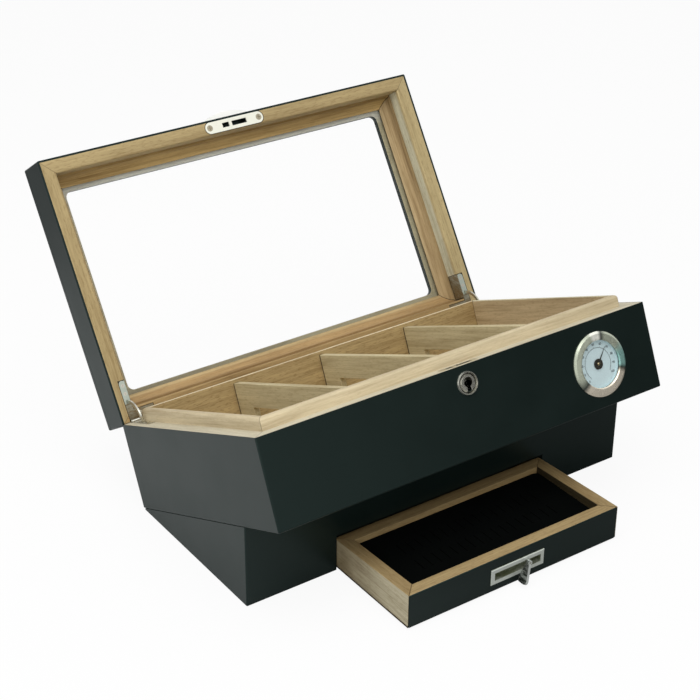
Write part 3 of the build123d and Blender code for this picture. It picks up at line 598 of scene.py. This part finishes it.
def soften(node: str, width: float, facet: float = 0.5, sharp: float = 50.0) -> None:
    """Round a CAD node's edges a little, as sanding and paint do.

    Args:
        node: The node's name.
        width: How far the rounding reaches, in metres.
        facet: The angle between faces that are made one first, in degrees.
        sharp: The least angle of an edge that is rounded, in degrees.
    """
    piece = frame["nodes"][node]
    weld = piece.modifiers.new("weld", "WELD")
    weld.merge_threshold = 0.01 * MM
    flatten = piece.modifiers.new("flatten", "DECIMATE")
    flatten.decimate_type = "DISSOLVE"
    flatten.angle_limit = math.radians(facet)
    bevel = piece.modifiers.new("soften", "BEVEL")
    bevel.width = width
    bevel.segments = 2
    bevel.limit_method = "ANGLE"
    bevel.angle_limit = math.radians(sharp)


def wear(node: str, finish: Finish, rounding: float = 0.0) -> None:
    """Give a CAD node its material, and soft edges where a rounding is given."""
    mesh = frame["nodes"][node].data
    mesh.materials.clear()
    mesh.materials.append(finish.block)
    if rounding:
        soften(node, rounding)
    log.info("%s wears %s", node, finish.block.name)


def placed(thing: bpy.types.Object) -> bpy.types.Object:
    """Put an object in the scene."""
    bpy.context.scene.collection.objects.link(thing)
    return thing


def made(maker: bmesh.types.BMesh, name: str, finish: Finish) -> bpy.types.Object:
    """Turn a bmesh, which is freed, into an object of the scene."""
    mesh = bpy.data.meshes.new(name)
    maker.to_mesh(mesh)
    maker.free()
    mesh.materials.append(finish.block)
    return placed(bpy.data.objects.new(name, mesh))


def add_sheet(maker: bmesh.types.BMesh, size: Numbers, matrix: Matrix) -> None:
    """Add a flat rectangle of a width and height, in the plane that a matrix gives."""
    stretch = Matrix.Diagonal((*size, 1.0, 1.0))
    bmesh.ops.create_grid(maker, x_segments=1, y_segments=1, size=0.5, matrix=matrix @ stretch)


def facing(place: Numbers, aim: Numbers = (0, 0, 0)) -> Matrix:
    """A frame at a place whose Z axis points away from what it is aimed at."""
    way = Vector(place) - Vector(aim)
    return Matrix.Translation(place) @ way.to_track_quat("Z", "Y").to_matrix().to_4x4()


def keep(
    maker: bmesh.types.BMesh, name: str, finish: Finish, body: str
) -> bpy.types.Object:
    """Turn a bmesh into a piece that rides on a body.

    Args:
        maker: The finished bmesh, which is freed.
        name: The piece's name.
        finish: Its material.
        body: The CAD body that it moves with.

    Returns:
        The piece.
    """
    piece = made(maker, name, finish)
    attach(piece, body)
    log.info("%s rides on %s", name, body)
    return piece


def joint(name: str) -> dict:
    """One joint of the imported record, by name."""
    return next(j for j in frame["joints"] if j["name"] == name)


@dataclass
class Frames:
    """The tilted frames of case and lid, worked out from the record's joints."""

    case_depth: float = 248.0 * MM
    case_height: float = 78.0 * MM
    lip_top: float = 89.0 * MM
    rim_gap: float = 0.3 * MM
    hinge_inset: float = 1.8 * MM
    half_width: float = 203.0 * MM
    wall: float = 14.5 * MM
    leaf_start: float = 8.3 * MM
    leaf_side: float = 39.5 * MM
    leaf_back: float = 12.0 * MM
    leaf_end: float = 34.0 * MM
    recess_line: float = 0.6 * MM
    case: Slope = field(init=False)
    lid: Slope = field(init=False)
    outline: Mitred = field(init=False)

    def __post_init__(self) -> None:
        """Find the tilt from the bolt's axis and the lid's angle from its range."""
        self.outline = Mitred(self.half_width, self.case_depth)
        up = Vector(joint("bolt_slide")["axis"])
        tilt = math.atan2(up.y, up.z)
        hinge = joint("lid_hinge")
        pivot = Vector(hinge["pos_m"])
        opened = tilt + math.radians(hinge["range_deg"][1])
        half_gap = self.rim_gap / 2
        self.case = self._hung(pivot, tilt, self.case_height + half_gap)
        self.lid = self._hung(pivot, opened, -half_gap)

    def _hung(self, pivot: Vector, angle: float, height: float) -> Slope:
        """A slope whose hinge edge, at a height in it, is the pivot."""
        turned = Slope(angle, Vector((0, 0, 0)))
        return Slope(angle, pivot - turned.point(0, self.case_depth - self.hinge_inset, height))

    def inside(self, here: Shade, wall: float) -> Shade:
        """The mask for what lies further inside the boards' outline than a wall."""
        return self.outline.inward(here) > wall

    def leaf_outline(self, here: Shade) -> Shade:
        """The mask for the dark line round the hinge leaves that are let into a rim."""
        near_end, _ = self.outline.edges(here)
        from_back = self.case_depth - here.y
        line = self.recess_line
        start = near_end > self.leaf_start - line
        side = (near_end < self.wall + line) & (from_back < self.leaf_side + line)
        back = (near_end < self.leaf_end + line) & (from_back < self.leaf_back + line)
        return start & (side | back)


@dataclass
class Cabinet:
    """Case, base and lining: the lacquered boards and the bare ones."""

    frames: Frames
    arris: float = 0.9 * MM
    rounding: float = 0.5 * MM
    divider_end: float = 225.8 * MM
    rim_depth: float = 1.4 * MM
    lip_depth: float = 0.5 * MM
    lining_skin: float = 3.5 * MM
    # Painted highlights on the lip of the back and right linings.
    back_lip_highlight: Colour = (1.7, 2.0, 3.0)
    right_lip_highlight: Colour = (1.25, 1.5, 1.8)

    def rim(self, here: Shade) -> Shade:
        """The mask for the bare rim of the case: its top, inside the painted arris."""
        top = here.z > self.frames.case_height - self.rim_depth
        return top & self.frames.inside(here, self.arris)

    def lip(self, here: Shade) -> Shade:
        """The mask for the painted highlight on the lip's top and outer faces."""
        outer = self.frames.outline.inward(here) < self.frames.wall + self.lining_skin
        return (here.z > self.frames.lip_top - self.lip_depth) | outer

    def divider_joint(self, here: Shade) -> Shade:
        """The mask for the shadowed joint at a divider's back edge."""
        return here.y > self.divider_end

    def dress(self) -> None:
        """Give every board of case and base its finish."""
        case = self.frames.case
        seams = self.frames.outline.seams
        stain = either(self.frames.leaf_outline, seams)
        linings = {"front": LIP_WOOD, "back": LINING_WOOD, "left": LIP_WOOD, "right": END_WOOD}
        lip_highlights = {"back": self.back_lip_highlight, "right": self.right_lip_highlight}
        for number, (side, lining) in enumerate(linings.items()):
            along = Along.of(side)
            board = Board(f"case_{side}", case, along, 3.1 + number)
            wear(board.name, board.lacquered(LEDGE_WOOD, self.rim, stain), self.rounding)
            tinges = (Tinge(self.lip, lip_highlights[side]),) if side in lip_highlights else ()
            board = Board(f"lining_{side}", case, along, 7.7 + number, tinges)
            wear(board.name, board.bare(lining, seams), self.rounding)
        wear("lining_floor", Board("lining_floor", case, Along.WIDTH, 1.9).bare(LINING_WOOD))
        plain = Board("base_lacquer", None, Along.WIDTH, 0.0).lacquered()
        for node in ("case_floor", "base_front", "base_left", "base_right"):
            wear(node, plain)
        for number in (1, 2, 3):
            board = Board(f"divider_{number}", case, Along.DEPTH, 2.3 * number)
            wear(board.name, board.bare(DIVIDER_WOOD, self.divider_joint), self.rounding)
        wear("base_floor", plastic("dark_board", (0.05, 0.045, 0.04), 0.7))
        for side in ("left", "right"):
            board = Board(f"drawer_guide_{side}", None, Along.DEPTH, 4.0)
            wear(board.name, board.bare(DRAWER_WOOD))


@dataclass
class Lid:
    """The glazed lid: rails, panel, mouldings and glass."""

    frames: Frames
    arris: float = 1.9 * MM
    rounding: float = 0.4 * MM
    rail_height: float = 30.0 * MM
    rim_depth: float = 1.2 * MM
    rail_skin: float = 1.8 * MM
    inner_skin: float = 0.2 * MM
    inner_fade: Numbers = (2.0 * MM, 6.0 * MM)
    glass: float = 3.0 * MM
    glazing_line: float = 0.7 * MM
    nose_fade: Numbers = (7.0 * MM, 9.5 * MM)
    root_fade: Numbers = (1.0 * MM, 4.5 * MM)
    plate_half: float = 26.25 * MM
    plate_round: float = 5.5 * MM
    plate_place: float = 7.5 * MM
    plate_line: float = 0.7 * MM
    panel_skin: float = 0.3 * MM
    strip_fade: Numbers = (29.0 * MM, 41.0 * MM)
    # Painted sheen on the panel's front strip.
    strip_sheen: Colour = (1.6, 1.75, 2.3)
    # Painted sheen on the right rail's inner face.
    right_inner_sheen: Colour = (1.15, 1.38, 1.95)
    # Painted shade where the mouldings meet the rail.
    bead_root_shade: Colour = (0.78, 0.76, 0.72)

    def bare(self, here: Shade) -> Shade:
        """The mask for the rails' bare rim and inner faces."""
        rim = (here.z < self.rim_depth) & self.frames.inside(here, self.arris)
        return rim | self.frames.inside(here, self.frames.wall - self.rail_skin)

    def inner(self, here: Shade) -> Shade:
        """The mask for the rails' inner faces, fading in below their round edge, where the right rail
        gets a painted sheen.
        """
        face = self.frames.inside(here, self.frames.wall - self.inner_skin)
        return face & here.z.between(*self.inner_fade)

    def nose_highlight(self, here: Shade) -> Shade:
        """The mask for the painted highlight along the mouldings' edge by the glass, fading in."""
        return (self.frames.outline.inward(here) - self.frames.wall).between(*self.nose_fade)

    def root_shade(self, here: Shade) -> Shade:
        """The mask for the painted shade along the mouldings' edge by the rail, fading out."""
        from_rail = self.frames.outline.inward(here) - self.frames.wall
        return from_rail.between(*self.root_fade, (1.0, 0.0))

    def plate_outline(self, here: Shade) -> Shade:
        """The mask for the dark line round the strike plate."""
        along = (abs(here.x) - self.plate_half) | 0.0
        across = here.y - self.plate_place
        return along * along + across * across < (self.plate_round + self.plate_line) ** 2

    def underside(self, here: Shade) -> Shade:
        """The mask for the panel's bare underside, inside its lacquered outer edge."""
        under = here.z < self.rail_height + self.panel_skin
        return under & self.frames.inside(here, self.arris)

    def front_sheen(self, here: Shade) -> Shade:
        """The mask for the panel's painted sheen, a paler strip along the front, fading out."""
        return here.y.between(*self.strip_fade, (1.0, 0.0))

    def glazing_shadow(self, here: Shade) -> Shade:
        """The mask for the painted shadow where a moulding meets the glass."""
        return here.z > self.rail_height - self.glass - self.glazing_line

    def dress(self) -> None:
        """Give every board of the lid its finish."""
        lid = self.frames.lid
        joints, seams = self.frames.outline.joints, self.frames.outline.seams
        sides = {
            # Each side's third colour is the painted highlight on its moulding's edge by the glass.
            "front": (RIM_WOOD, LIT_TOP_BEAD_WOOD, (1.15, 1.15, 1.15)),
            "back": (LOW_RIM_WOOD, BEAD_WOOD, (1.35, 1.55, 1.8)),
            "left": (RIM_WOOD, BEAD_WOOD, (1.2, 1.2, 1.2)),
            "right": (LIT_RIGHT_RIM_WOOD, LIT_RIGHT_BEAD_WOOD, (1.2, 1.25, 1.35)),
        }
        for number, (side, (rim, bead, glow)) in enumerate(sides.items()):
            along = Along.of(side)
            metal = self.plate_outline if side == "front" else self.frames.leaf_outline
            tinges = (Tinge(self.inner, self.right_inner_sheen),) if side == "right" else ()
            board = Board(f"lid_{side}", lid, along, 11.3 + number, tinges)
            wear(board.name, board.lacquered(rim, self.bare, either(metal, seams)), self.rounding)
            tinges = (Tinge(self.nose_highlight, glow), Tinge(self.root_shade, self.bead_root_shade))
            board = Board(f"moulding_{side}", lid, along, 15.1 + number, tinges)
            wear(board.name, board.bare(bead, either(self.glazing_shadow, joints)))
        panel = Board("lid_panel", lid, Along.WIDTH, 8.0, (Tinge(self.front_sheen, self.strip_sheen),))
        wear("lid_panel", panel.lacquered(PANEL_WOOD, self.underside), self.rounding)
        wear("lid_glass", clear_glass("window_glass"))


@dataclass
class Hardware:
    """Hinges, lock, strike and lift tab."""

    frames: Frames
    shaded: float = 18.0 * MM
    leaf_skin: float = 0.4 * MM
    lock_up: float = 62.4 * MM
    keyhole_round: float = 4.4 * MM
    keyhole_rise: float = 1.0 * MM
    groove: float = 7.6 * MM
    groove_width: float = 0.9 * MM

    def hinge_shade(self, here: Shade) -> Shade:
        """The mask for the painted shade and reflection on a lid leaf: beside the hinge, and inside
        the rail.
        """
        place = here.finish.place(self.frames.lid)
        by_back = place.y > self.frames.case_depth - self.shaded
        return by_back | self.frames.inside(place, self.frames.wall - self.leaf_skin)

    def keyhole(self, here: Shade) -> Shade:
        """The mask for painted shade: in the escutcheon's groove, and above and round its keyhole."""
        place = here.finish.place(self.frames.case)
        x, up = place.x, place.z - self.lock_up
        squared = x * x + up * up
        above = up - self.keyhole_rise
        keyhole_shade = x * x + above * above < self.keyhole_round ** 2
        groove = (squared > self.groove ** 2) & (squared < (self.groove + self.groove_width) ** 2)
        return keyhole_shade | groove

    def dress(self) -> None:
        """Give every metal piece its polish."""
        nickel = NICKEL.finish("nickel")
        # Painted shade and reflection on the lid leaves, browner beside the hinge and inside the
        # rail.
        dull = SHADED_NICKEL.finish("shaded_nickel", self.hinge_shade, (0.20, 0.15, 0.08))
        steel = STEEL.finish("screw_steel")
        for side in ("left", "right"):
            for part in ("case_leaf", "pin", "arm"):
                wear(f"hinge_{part}_{side}", nickel)
            wear(f"hinge_lid_leaf_{side}", dull)
        wear("strike_plate", BRIGHT_NICKEL.finish("bright_nickel"))
        wear("strike_screws", WORN_STEEL.finish("worn_steel"))
        wear("lid_lift_tab", PALE_NICKEL.finish("pale_nickel"))
        for node in ("lock_case", "lock_bolt"):
            wear(node, nickel)
        # Painted shade in the escutcheon's groove and round its keyhole.
        wear("lock_escutcheon", LOCK_NICKEL.finish("lock_nickel", self.keyhole, (0.02, 0.02, 0.012)))
        for node in ("hinge_case_screws", "hinge_lid_screws", "lock_screws"):
            wear(node, steel)


@dataclass
class Drawer:
    """The drawer: its boards, the foam in it and its pull."""

    rounding: float = 0.5 * MM
    front_rounding: float = 1.0 * MM
    depth: float = 105.0 * MM
    wall: float = 13.0 * MM
    front_skin: float = 0.8 * MM
    frame_depth: float = 0.6 * MM
    foot_height: float = 2.2 * MM
    end_skin: float = 0.3 * MM
    wall_skin: float = 1.0 * MM
    dark_side: float = -0.4
    foam_round: float = 6.0 * MM
    slit_length: float = 15.0 * MM
    slit_width: float = 0.9 * MM
    slit_depth: float = 6.0 * MM
    slit_pitch: float = 9.0 * MM
    slits: int = 17
    row_places: Numbers = (-13.0 * MM, 13.0 * MM)
    top_play: float = 0.1 * MM
    outline: Mitred = field(init=False)

    def __post_init__(self) -> None:
        """Find the drawer's outline from its front board."""
        low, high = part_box("drawer_front")
        self.outline = Mitred(high[0], self.depth, low[1])

    def bare(self, here: Shade) -> Shade:
        """The mask that keeps the lacquer on the drawer's front face."""
        return here.y > self.outline.start + self.front_skin

    def recess_shade(self, here: Shade) -> Shade:
        """The mask for the painted shade in the pull's tub, behind the frame round it."""
        return here.y > self.outline.start - self.frame_depth

    def foot(self, here: Shade) -> Shade:
        """The mask for the black line along the sides' lower edges."""
        return here.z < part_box("drawer_left")[0][2] + self.foot_height

    def ends(self, here: Shade) -> Shade:
        """The mask for the sides' outer faces."""
        return self.outline.edges(here)[0] < self.end_skin

    def overhang_shadow(self, here: Shade) -> Shade:
        """The mask for the painted shadow of the case's overhang, darker and mottled towards the
        drawer's back.
        """
        back = (here.y - self.outline.start).between(0.2 * self.depth, self.depth)
        return back * here.noise(26.0).between(0.3, 0.6, (0.6, 1.0))

    def right_inner_shade(self, here: Shade) -> Shade:
        """The mask for the painted shade on the right side's inner face."""
        return (self.outline.edges(here)[0] > self.wall - self.wall_skin) & (here.x > 0.0)

    def outer_overhang_shadow(self, here: Shade) -> Shade:
        """The mask for the deeper painted shadow on the sides' outer faces."""
        return self.ends(here) * self.overhang_shadow(here)

    def reflected_dark_side(self, here: Shade) -> Shade:
        """The mask for the painted reflection of the black drawer front on the tab's left face, which
        looks away from its bright edge.
        """
        return here.finish.node("ShaderNodeTexCoord", output="Normal").x < self.dark_side

    def dress(self) -> None:
        """Give the drawer's boards, foam and pull their finishes."""
        # Painted sheen: the sides' outer faces paler and greyer, as they catch light from the left.
        outer = Tinge(self.ends, (1.3, 1.6, 2.3))
        # Painted shadow of the case's overhang, deeper on the sides' outer faces.
        overhang_shadow = Tinge(self.overhang_shadow, (0.80, 0.77, 0.72))
        outer_overhang_shadow = Tinge(self.outer_overhang_shadow, (0.58, 0.52, 0.44))
        right_inner_shade = Tinge(self.right_inner_shade, (0.10, 0.10, 0.08))
        for number, side in enumerate(("back", "left", "right")):
            tinges = (outer, overhang_shadow, outer_overhang_shadow)
            if side == "right":
                tinges = (*tinges, right_inner_shade)
            board = Board(f"drawer_{side}", None, Along.of(side), 21.0 + number, tinges)
            stain = either(self.foot, self.outline.seams)
            wear(board.name, board.bare(DRAWER_WOOD, stain), self.rounding)
        front = Board("drawer_front", None, Along.WIDTH, 25.0)
        lacquer = front.lacquered(DRAWER_WOOD, self.bare, self.outline.seams)
        wear("drawer_front", lacquer, self.front_rounding)
        wear("drawer_bottom", plastic("drawer_board", (0.02, 0.02, 0.02), 0.7))
        wear("pull_frame", PULL_NICKEL.finish("pull_nickel", self.recess_shade, (0.19, 0.21, 0.12)))
        wear("pull_pin", STEEL.finish("pull_steel"))
        wear("pull_tab", TAB_NICKEL.finish("tab_nickel", self.reflected_dark_side, (0.02, 0.025, 0.02)))
        wear("drawer_foam", flocked_foam("foam_core"))
        self.foam()

    def foam(self) -> None:
        """Cut the foam insert: a slab with round corners and two rows of slits."""
        low, high = (Vector(corner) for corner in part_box("drawer_foam"))
        middle, size = (low + high) / 2, high - low
        slab = bmesh.new()
        bmesh.ops.create_cube(slab, size=1.0)
        bmesh.ops.scale(slab, verts=slab.verts, vec=size)
        bmesh.ops.translate(slab, verts=slab.verts, vec=middle)
        corners = [e for e in slab.edges if abs((e.verts[0].co - e.verts[1].co).z) > size.z / 2]
        bmesh.ops.bevel(
            slab, geom=corners, offset=self.foam_round, segments=6, affect="EDGES",
            profile=0.5, material=-1,
        )
        spots = [(step - (self.slits - 1) / 2) * self.slit_pitch for step in range(self.slits)]
        cuts = [(spot, self.slit_width, (1, 0, 0)) for spot in spots]
        cuts += [(row, self.slit_length, (0, 1, 0)) for row in self.row_places]
        for place, width, normal in cuts:
            for side in (-1, 1):
                point = middle + Vector(normal) * (place + side * width / 2)
                geometry = slab.verts[:] + slab.edges[:] + slab.faces[:]
                bmesh.ops.bisect_plane(slab, geom=geometry, plane_co=point, plane_no=normal)
        floors = [f for f in slab.faces if self._in_slit(f, middle, high.z, spots)]
        pressed = bmesh.ops.extrude_face_region(slab, geom=floors)["geom"]
        bmesh.ops.delete(slab, geom=floors, context="FACES_ONLY")
        sunk = [v for v in pressed if isinstance(v, bmesh.types.BMVert)]
        bmesh.ops.translate(slab, verts=sunk, vec=(0, 0, -self.slit_depth))
        bmesh.ops.recalc_face_normals(slab, faces=slab.faces)
        piece = keep(slab, "foam_insert", flocked_foam("flocked_foam"), "drawer")
        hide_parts("drawer_foam")

    def _in_slit(
        self, face: bmesh.types.BMFace, middle: Vector, top: float, spots: Iterable[float]
    ) -> bool:
        """Tell whether a face of the slab's top lies in a slit."""
        centre = face.calc_center_median()
        if centre.z < top - self.top_play:
            return False
        across = any(abs(centre.x - middle.x - spot) < self.slit_width / 2 for spot in spots)
        rows = (abs(centre.y - middle.y - row) for row in self.row_places)
        return across and any(row < self.slit_length / 2 for row in rows)


@dataclass
class Gauge:
    """The round hygrometer in the case's front."""

    frames: Frames
    across: float = 140.0 * MM
    up: float = 38.5 * MM
    dial_drop: float = 2.0 * MM
    ink: float = 0.05 * MM
    sweep: float = 260.0
    lean: float = 4.0
    scale_radius: float = 14.2 * MM
    scale_width: float = 0.3 * MM
    scale_steps: int = 72
    tick: float = 1.0 * MM
    ticks: int = 51
    ticks_to_long: int = 5
    figure_radius: float = 17.8 * MM
    figure_size: float = 2.8 * MM
    figure_weight: float = 0.07 * MM
    figures: int = 11
    figure_step: int = 10
    cap_radius: float = 1.3 * MM
    cap_taper: float = 0.7
    cap_height: float = 0.3 * MM
    cap_seat: float = 1.3 * MM

    def dress(self) -> None:
        """Give cup, dial, glass, bezel and needle their finishes, and print the dial."""
        wear("hygrometer_cup", plastic("cup_plastic", (0.02, 0.02, 0.02), 0.5))
        wear("hygrometer_dial", plastic("dial_white", (0.64, 0.79, 0.81), 0.5))
        wear("hygrometer_glass", clear_glass("gauge_glass"))
        ring = ring_sheen("bezel_nickel", self.frames.case, (self.across, self.up))
        wear("hygrometer_bezel", ring)
        wear("hygrometer_needle", plastic("needle_black", (0.022, 0.02, 0.014), 0.35))
        self.printing()
        self.hub_cap()

    def seat(self, proud: float) -> Matrix:
        """The plane of the dial, facing out, some way above its face."""
        case = self.frames.case
        turned = case.matrix.to_3x3()
        right, up, out = turned.col[0], turned.col[2], -turned.col[1]
        place = case.point(self.across, self.dial_drop - proud, self.up)
        return Matrix.Translation(place) @ Matrix((right, up, out)).transposed().to_4x4()

    def printing(self) -> None:
        """Print the scale: an arc with ticks, and the numbers round it."""
        ink = bmesh.new()
        start = math.radians(90 + self.sweep / 2 + self.lean)
        outer_radius = self.scale_radius + self.scale_width
        inner, outer = (
            ink.verts.new((math.cos(start) * r, math.sin(start) * r, 0))
            for r in (self.scale_radius, outer_radius)
        )
        edge = ink.edges.new((inner, outer))
        bmesh.ops.spin(
            ink, geom=[inner, outer, edge], cent=(0, 0, 0), axis=(0, 0, -1),
            angle=math.radians(self.sweep), steps=self.scale_steps, use_merge=False,
        )
        for step in range(self.ticks):
            length = self.tick / 2 if step % self.ticks_to_long else self.tick
            place = self._round(step / (self.ticks - 1), outer_radius + length / 2)
            add_sheet(ink, (self.scale_width, length), place)
        for step in range(self.figures):
            spot = self._round(step / (self.figures - 1), self.figure_radius).to_translation()
            self._figure(ink, str(step * self.figure_step), Matrix.Translation(spot))
        bmesh.ops.recalc_face_normals(ink, faces=ink.faces)
        facing_in = [f for f in ink.faces if f.normal.z < 0]
        bmesh.ops.reverse_faces(ink, faces=facing_in)
        bmesh.ops.transform(ink, matrix=self.seat(self.ink), verts=ink.verts)
        keep(ink, "dial_print", plastic("print_ink", (0.03, 0.05, 0.06), 0.6), "case")

    def _round(self, share: float, radius: float) -> Matrix:
        """A frame on a circle of the dial at a share of the scale, its Y axis pointing out."""
        turn = math.radians(self.sweep * (0.5 - share) + self.lean)
        return Matrix.Rotation(turn, 4, "Z") @ Matrix.Translation((0, radius, 0))

    def _figure(self, ink: bmesh.types.BMesh, figure: str, place: Matrix) -> None:
        """Add a number, made a mesh, to the print."""
        curve = bpy.data.curves.new(f"figure_{figure}", "FONT")
        curve.body = figure
        curve.size = self.figure_size
        curve.offset = self.figure_weight
        curve.align_x, curve.align_y = "CENTER", "CENTER"
        writer = bpy.data.objects.new(curve.name, curve)
        mesh = bpy.data.meshes.new_from_object(writer)
        before = set(ink.verts)
        ink.from_mesh(mesh)
        bmesh.ops.transform(ink, matrix=place, verts=[v for v in ink.verts if v not in before])
        bpy.data.objects.remove(writer)
        bpy.data.curves.remove(curve)
        bpy.data.meshes.remove(mesh)

    def hub_cap(self) -> None:
        """Set a little brass cap on the needle's hub."""
        cap = bmesh.new()
        bmesh.ops.create_cone(
            cap, cap_ends=True, segments=24, radius1=self.cap_radius,
            radius2=self.cap_radius * self.cap_taper, depth=self.cap_height,
        )
        middle = self.cap_seat + self.cap_height / 2
        bmesh.ops.transform(cap, matrix=self.seat(middle), verts=cap.verts)
        keep(cap, "hub_cap", BRASS.finish("hub_brass"), "needle")


@dataclass(frozen=True)
class Lamp:
    """A soft rectangular lamp: what it points at, its sides in metres and its power in watts."""

    name: str
    place: Numbers
    aim: Numbers
    size: Numbers
    power: float
    mirrored: bool = True

    def light(self) -> None:
        """Put the lamp in the scene, seen in polish where it is mirrored."""
        data = bpy.data.lights.new(self.name, "AREA")
        data.shape = "RECTANGLE"
        data.size, data.size_y = self.size
        data.energy = self.power
        lamp = placed(bpy.data.objects.new(self.name, data))
        lamp.matrix_world = facing(self.place, self.aim)
        lamp.visible_glossy = self.mirrored


LAMPS = (
    Lamp("overhead", (-0.3, -0.4, 1.9), (0, 0, 0.1), (1.8, 1.6), 22.0),
    Lamp("left_box", (-1.9, -0.3, 1.0), (0, 0, 0.1), (1.2, 1.4), 8.0),
    Lamp("front_fill", (-0.7, -2.1, 0.7), (0, 0, 0.12), (1.4, 1.0), 8.0, mirrored=False),
)


@dataclass
class Studio:
    """The white studio: camera, lamps, world and floor."""

    azimuth: float = -35.10
    elevation: float = 28.82
    roll: float = 0.34
    focal_pixels: float = 1713.28
    stand: Vector = field(default_factory=lambda: Vector((-0.7871, -1.0640, 0.8662)))
    sensor: float = 36.0
    ambient: float = 0.45
    shown: float = 1.0
    floor_size: float = 12.0
    floor_drop: float = 0.2 * MM
    floor_white: float = 0.92
    card_place: Numbers = (1.35, -1.25, 0.35)
    card_size: Numbers = (1.5, 1.1)
    card_shade: float = 0.08

    def camera(self) -> None:
        """Set the camera at the photograph's viewpoint."""
        a, e = math.radians(self.azimuth), math.radians(self.elevation)
        back = Vector((math.sin(a) * math.cos(e), -math.cos(a) * math.cos(e), math.sin(e)))
        right = Vector((math.cos(a), math.sin(a), 0.0))
        level = Matrix((right, back.cross(right), back)).transposed()
        turn = level @ Matrix.Rotation(math.radians(self.roll), 3, "Z")
        data = bpy.data.cameras.new("camera")
        data.sensor_width = self.sensor
        data.lens = self.sensor * self.focal_pixels / PHOTO_PIXELS
        data.clip_start, data.clip_end = 0.05, 50.0
        camera = placed(bpy.data.objects.new("camera", data))
        camera.matrix_world = Matrix.Translation(self.stand) @ turn.to_4x4()
        bpy.context.scene.camera = camera

    def world(self) -> None:
        """Light the world: plain light on the object, and white where it is looked at.

        The camera, polish and glass see the white, and everything else the plain light.
        """
        world = Finish("studio", "World")
        bpy.context.scene.world = world.block
        plain, white = (
            world.node("ShaderNodeBackground", inputs={"Color": WHITE, "Strength": strength})
            for strength in (self.ambient, self.shown)
        )
        seen = world.rays("Is Camera Ray", "Is Glossy Ray", "Is Transmission Ray")
        world.close(world.blend(seen, plain, white))

    def floor(self) -> None:
        """Lay a pale floor that looks nearly white and keeps the object's shadow.

        The light that it throws back fades away from the object and towards the front right.
        """
        maker = bmesh.new()
        down = Matrix.Translation((0, 0, -self.floor_drop))
        add_sheet(maker, (self.floor_size, self.floor_size), down)
        finish = Finish("floor")
        here = finish.place()
        x, y = here.x, here.y
        side = (y * 0.6 - x * 0.8).between(-0.2, 0.2, (0.3, 0.95))
        near = (x * x + y * y).between(0.16, 0.7, (1.0, 0.5))
        level = side * near
        shade = finish.node("ShaderNodeCombineColor", inputs={0: level, 1: level, 2: level})
        matt = finish.node("ShaderNodeBsdfDiffuse", inputs={"Color": shade})
        plain = finish.node("ShaderNodeBsdfDiffuse", inputs={"Color": (0.9, 0.9, 0.9, 1)})
        glow = finish.node("ShaderNodeEmission", inputs={"Color": WHITE, "Strength": 1.0})
        pale = finish.blend(self.floor_white, plain, glow)
        seen = finish.rays("Is Camera Ray", "Is Transmission Ray")
        floor = made(maker, "floor", finish.close(finish.blend(seen, matt, pale)))

    def flag(self) -> None:
        """Stand a dark card that only polish sees, so that dark lacquer keeps its depth."""
        maker = bmesh.new()
        add_sheet(maker, self.card_size, facing(self.card_place))
        finish = Finish("flag")
        inputs = {"Color": WHITE, "Strength": self.card_shade}
        card = made(maker, "flag", finish.close(finish.node("ShaderNodeEmission", inputs=inputs)))
        card.visible_camera = card.visible_diffuse = card.visible_shadow = False
        card.visible_transmission = False

    def build(self) -> None:
        """Make the studio."""
        self.camera()
        self.world()
        self.floor()
        self.flag()
        for lamp in LAMPS:
            lamp.light()


def main() -> None:
    """Dress the humidor and light it."""
    logging.basicConfig(level=logging.INFO, format="%(message)s")
    bpy.context.scene.view_settings.view_transform = "Standard"
    frames = Frames()
    for assembly in (Cabinet(frames), Lid(frames), Hardware(frames), Drawer(), Gauge(frames)):
        assembly.dress()
    Studio().build()


if __name__ == "__main__":
    main()
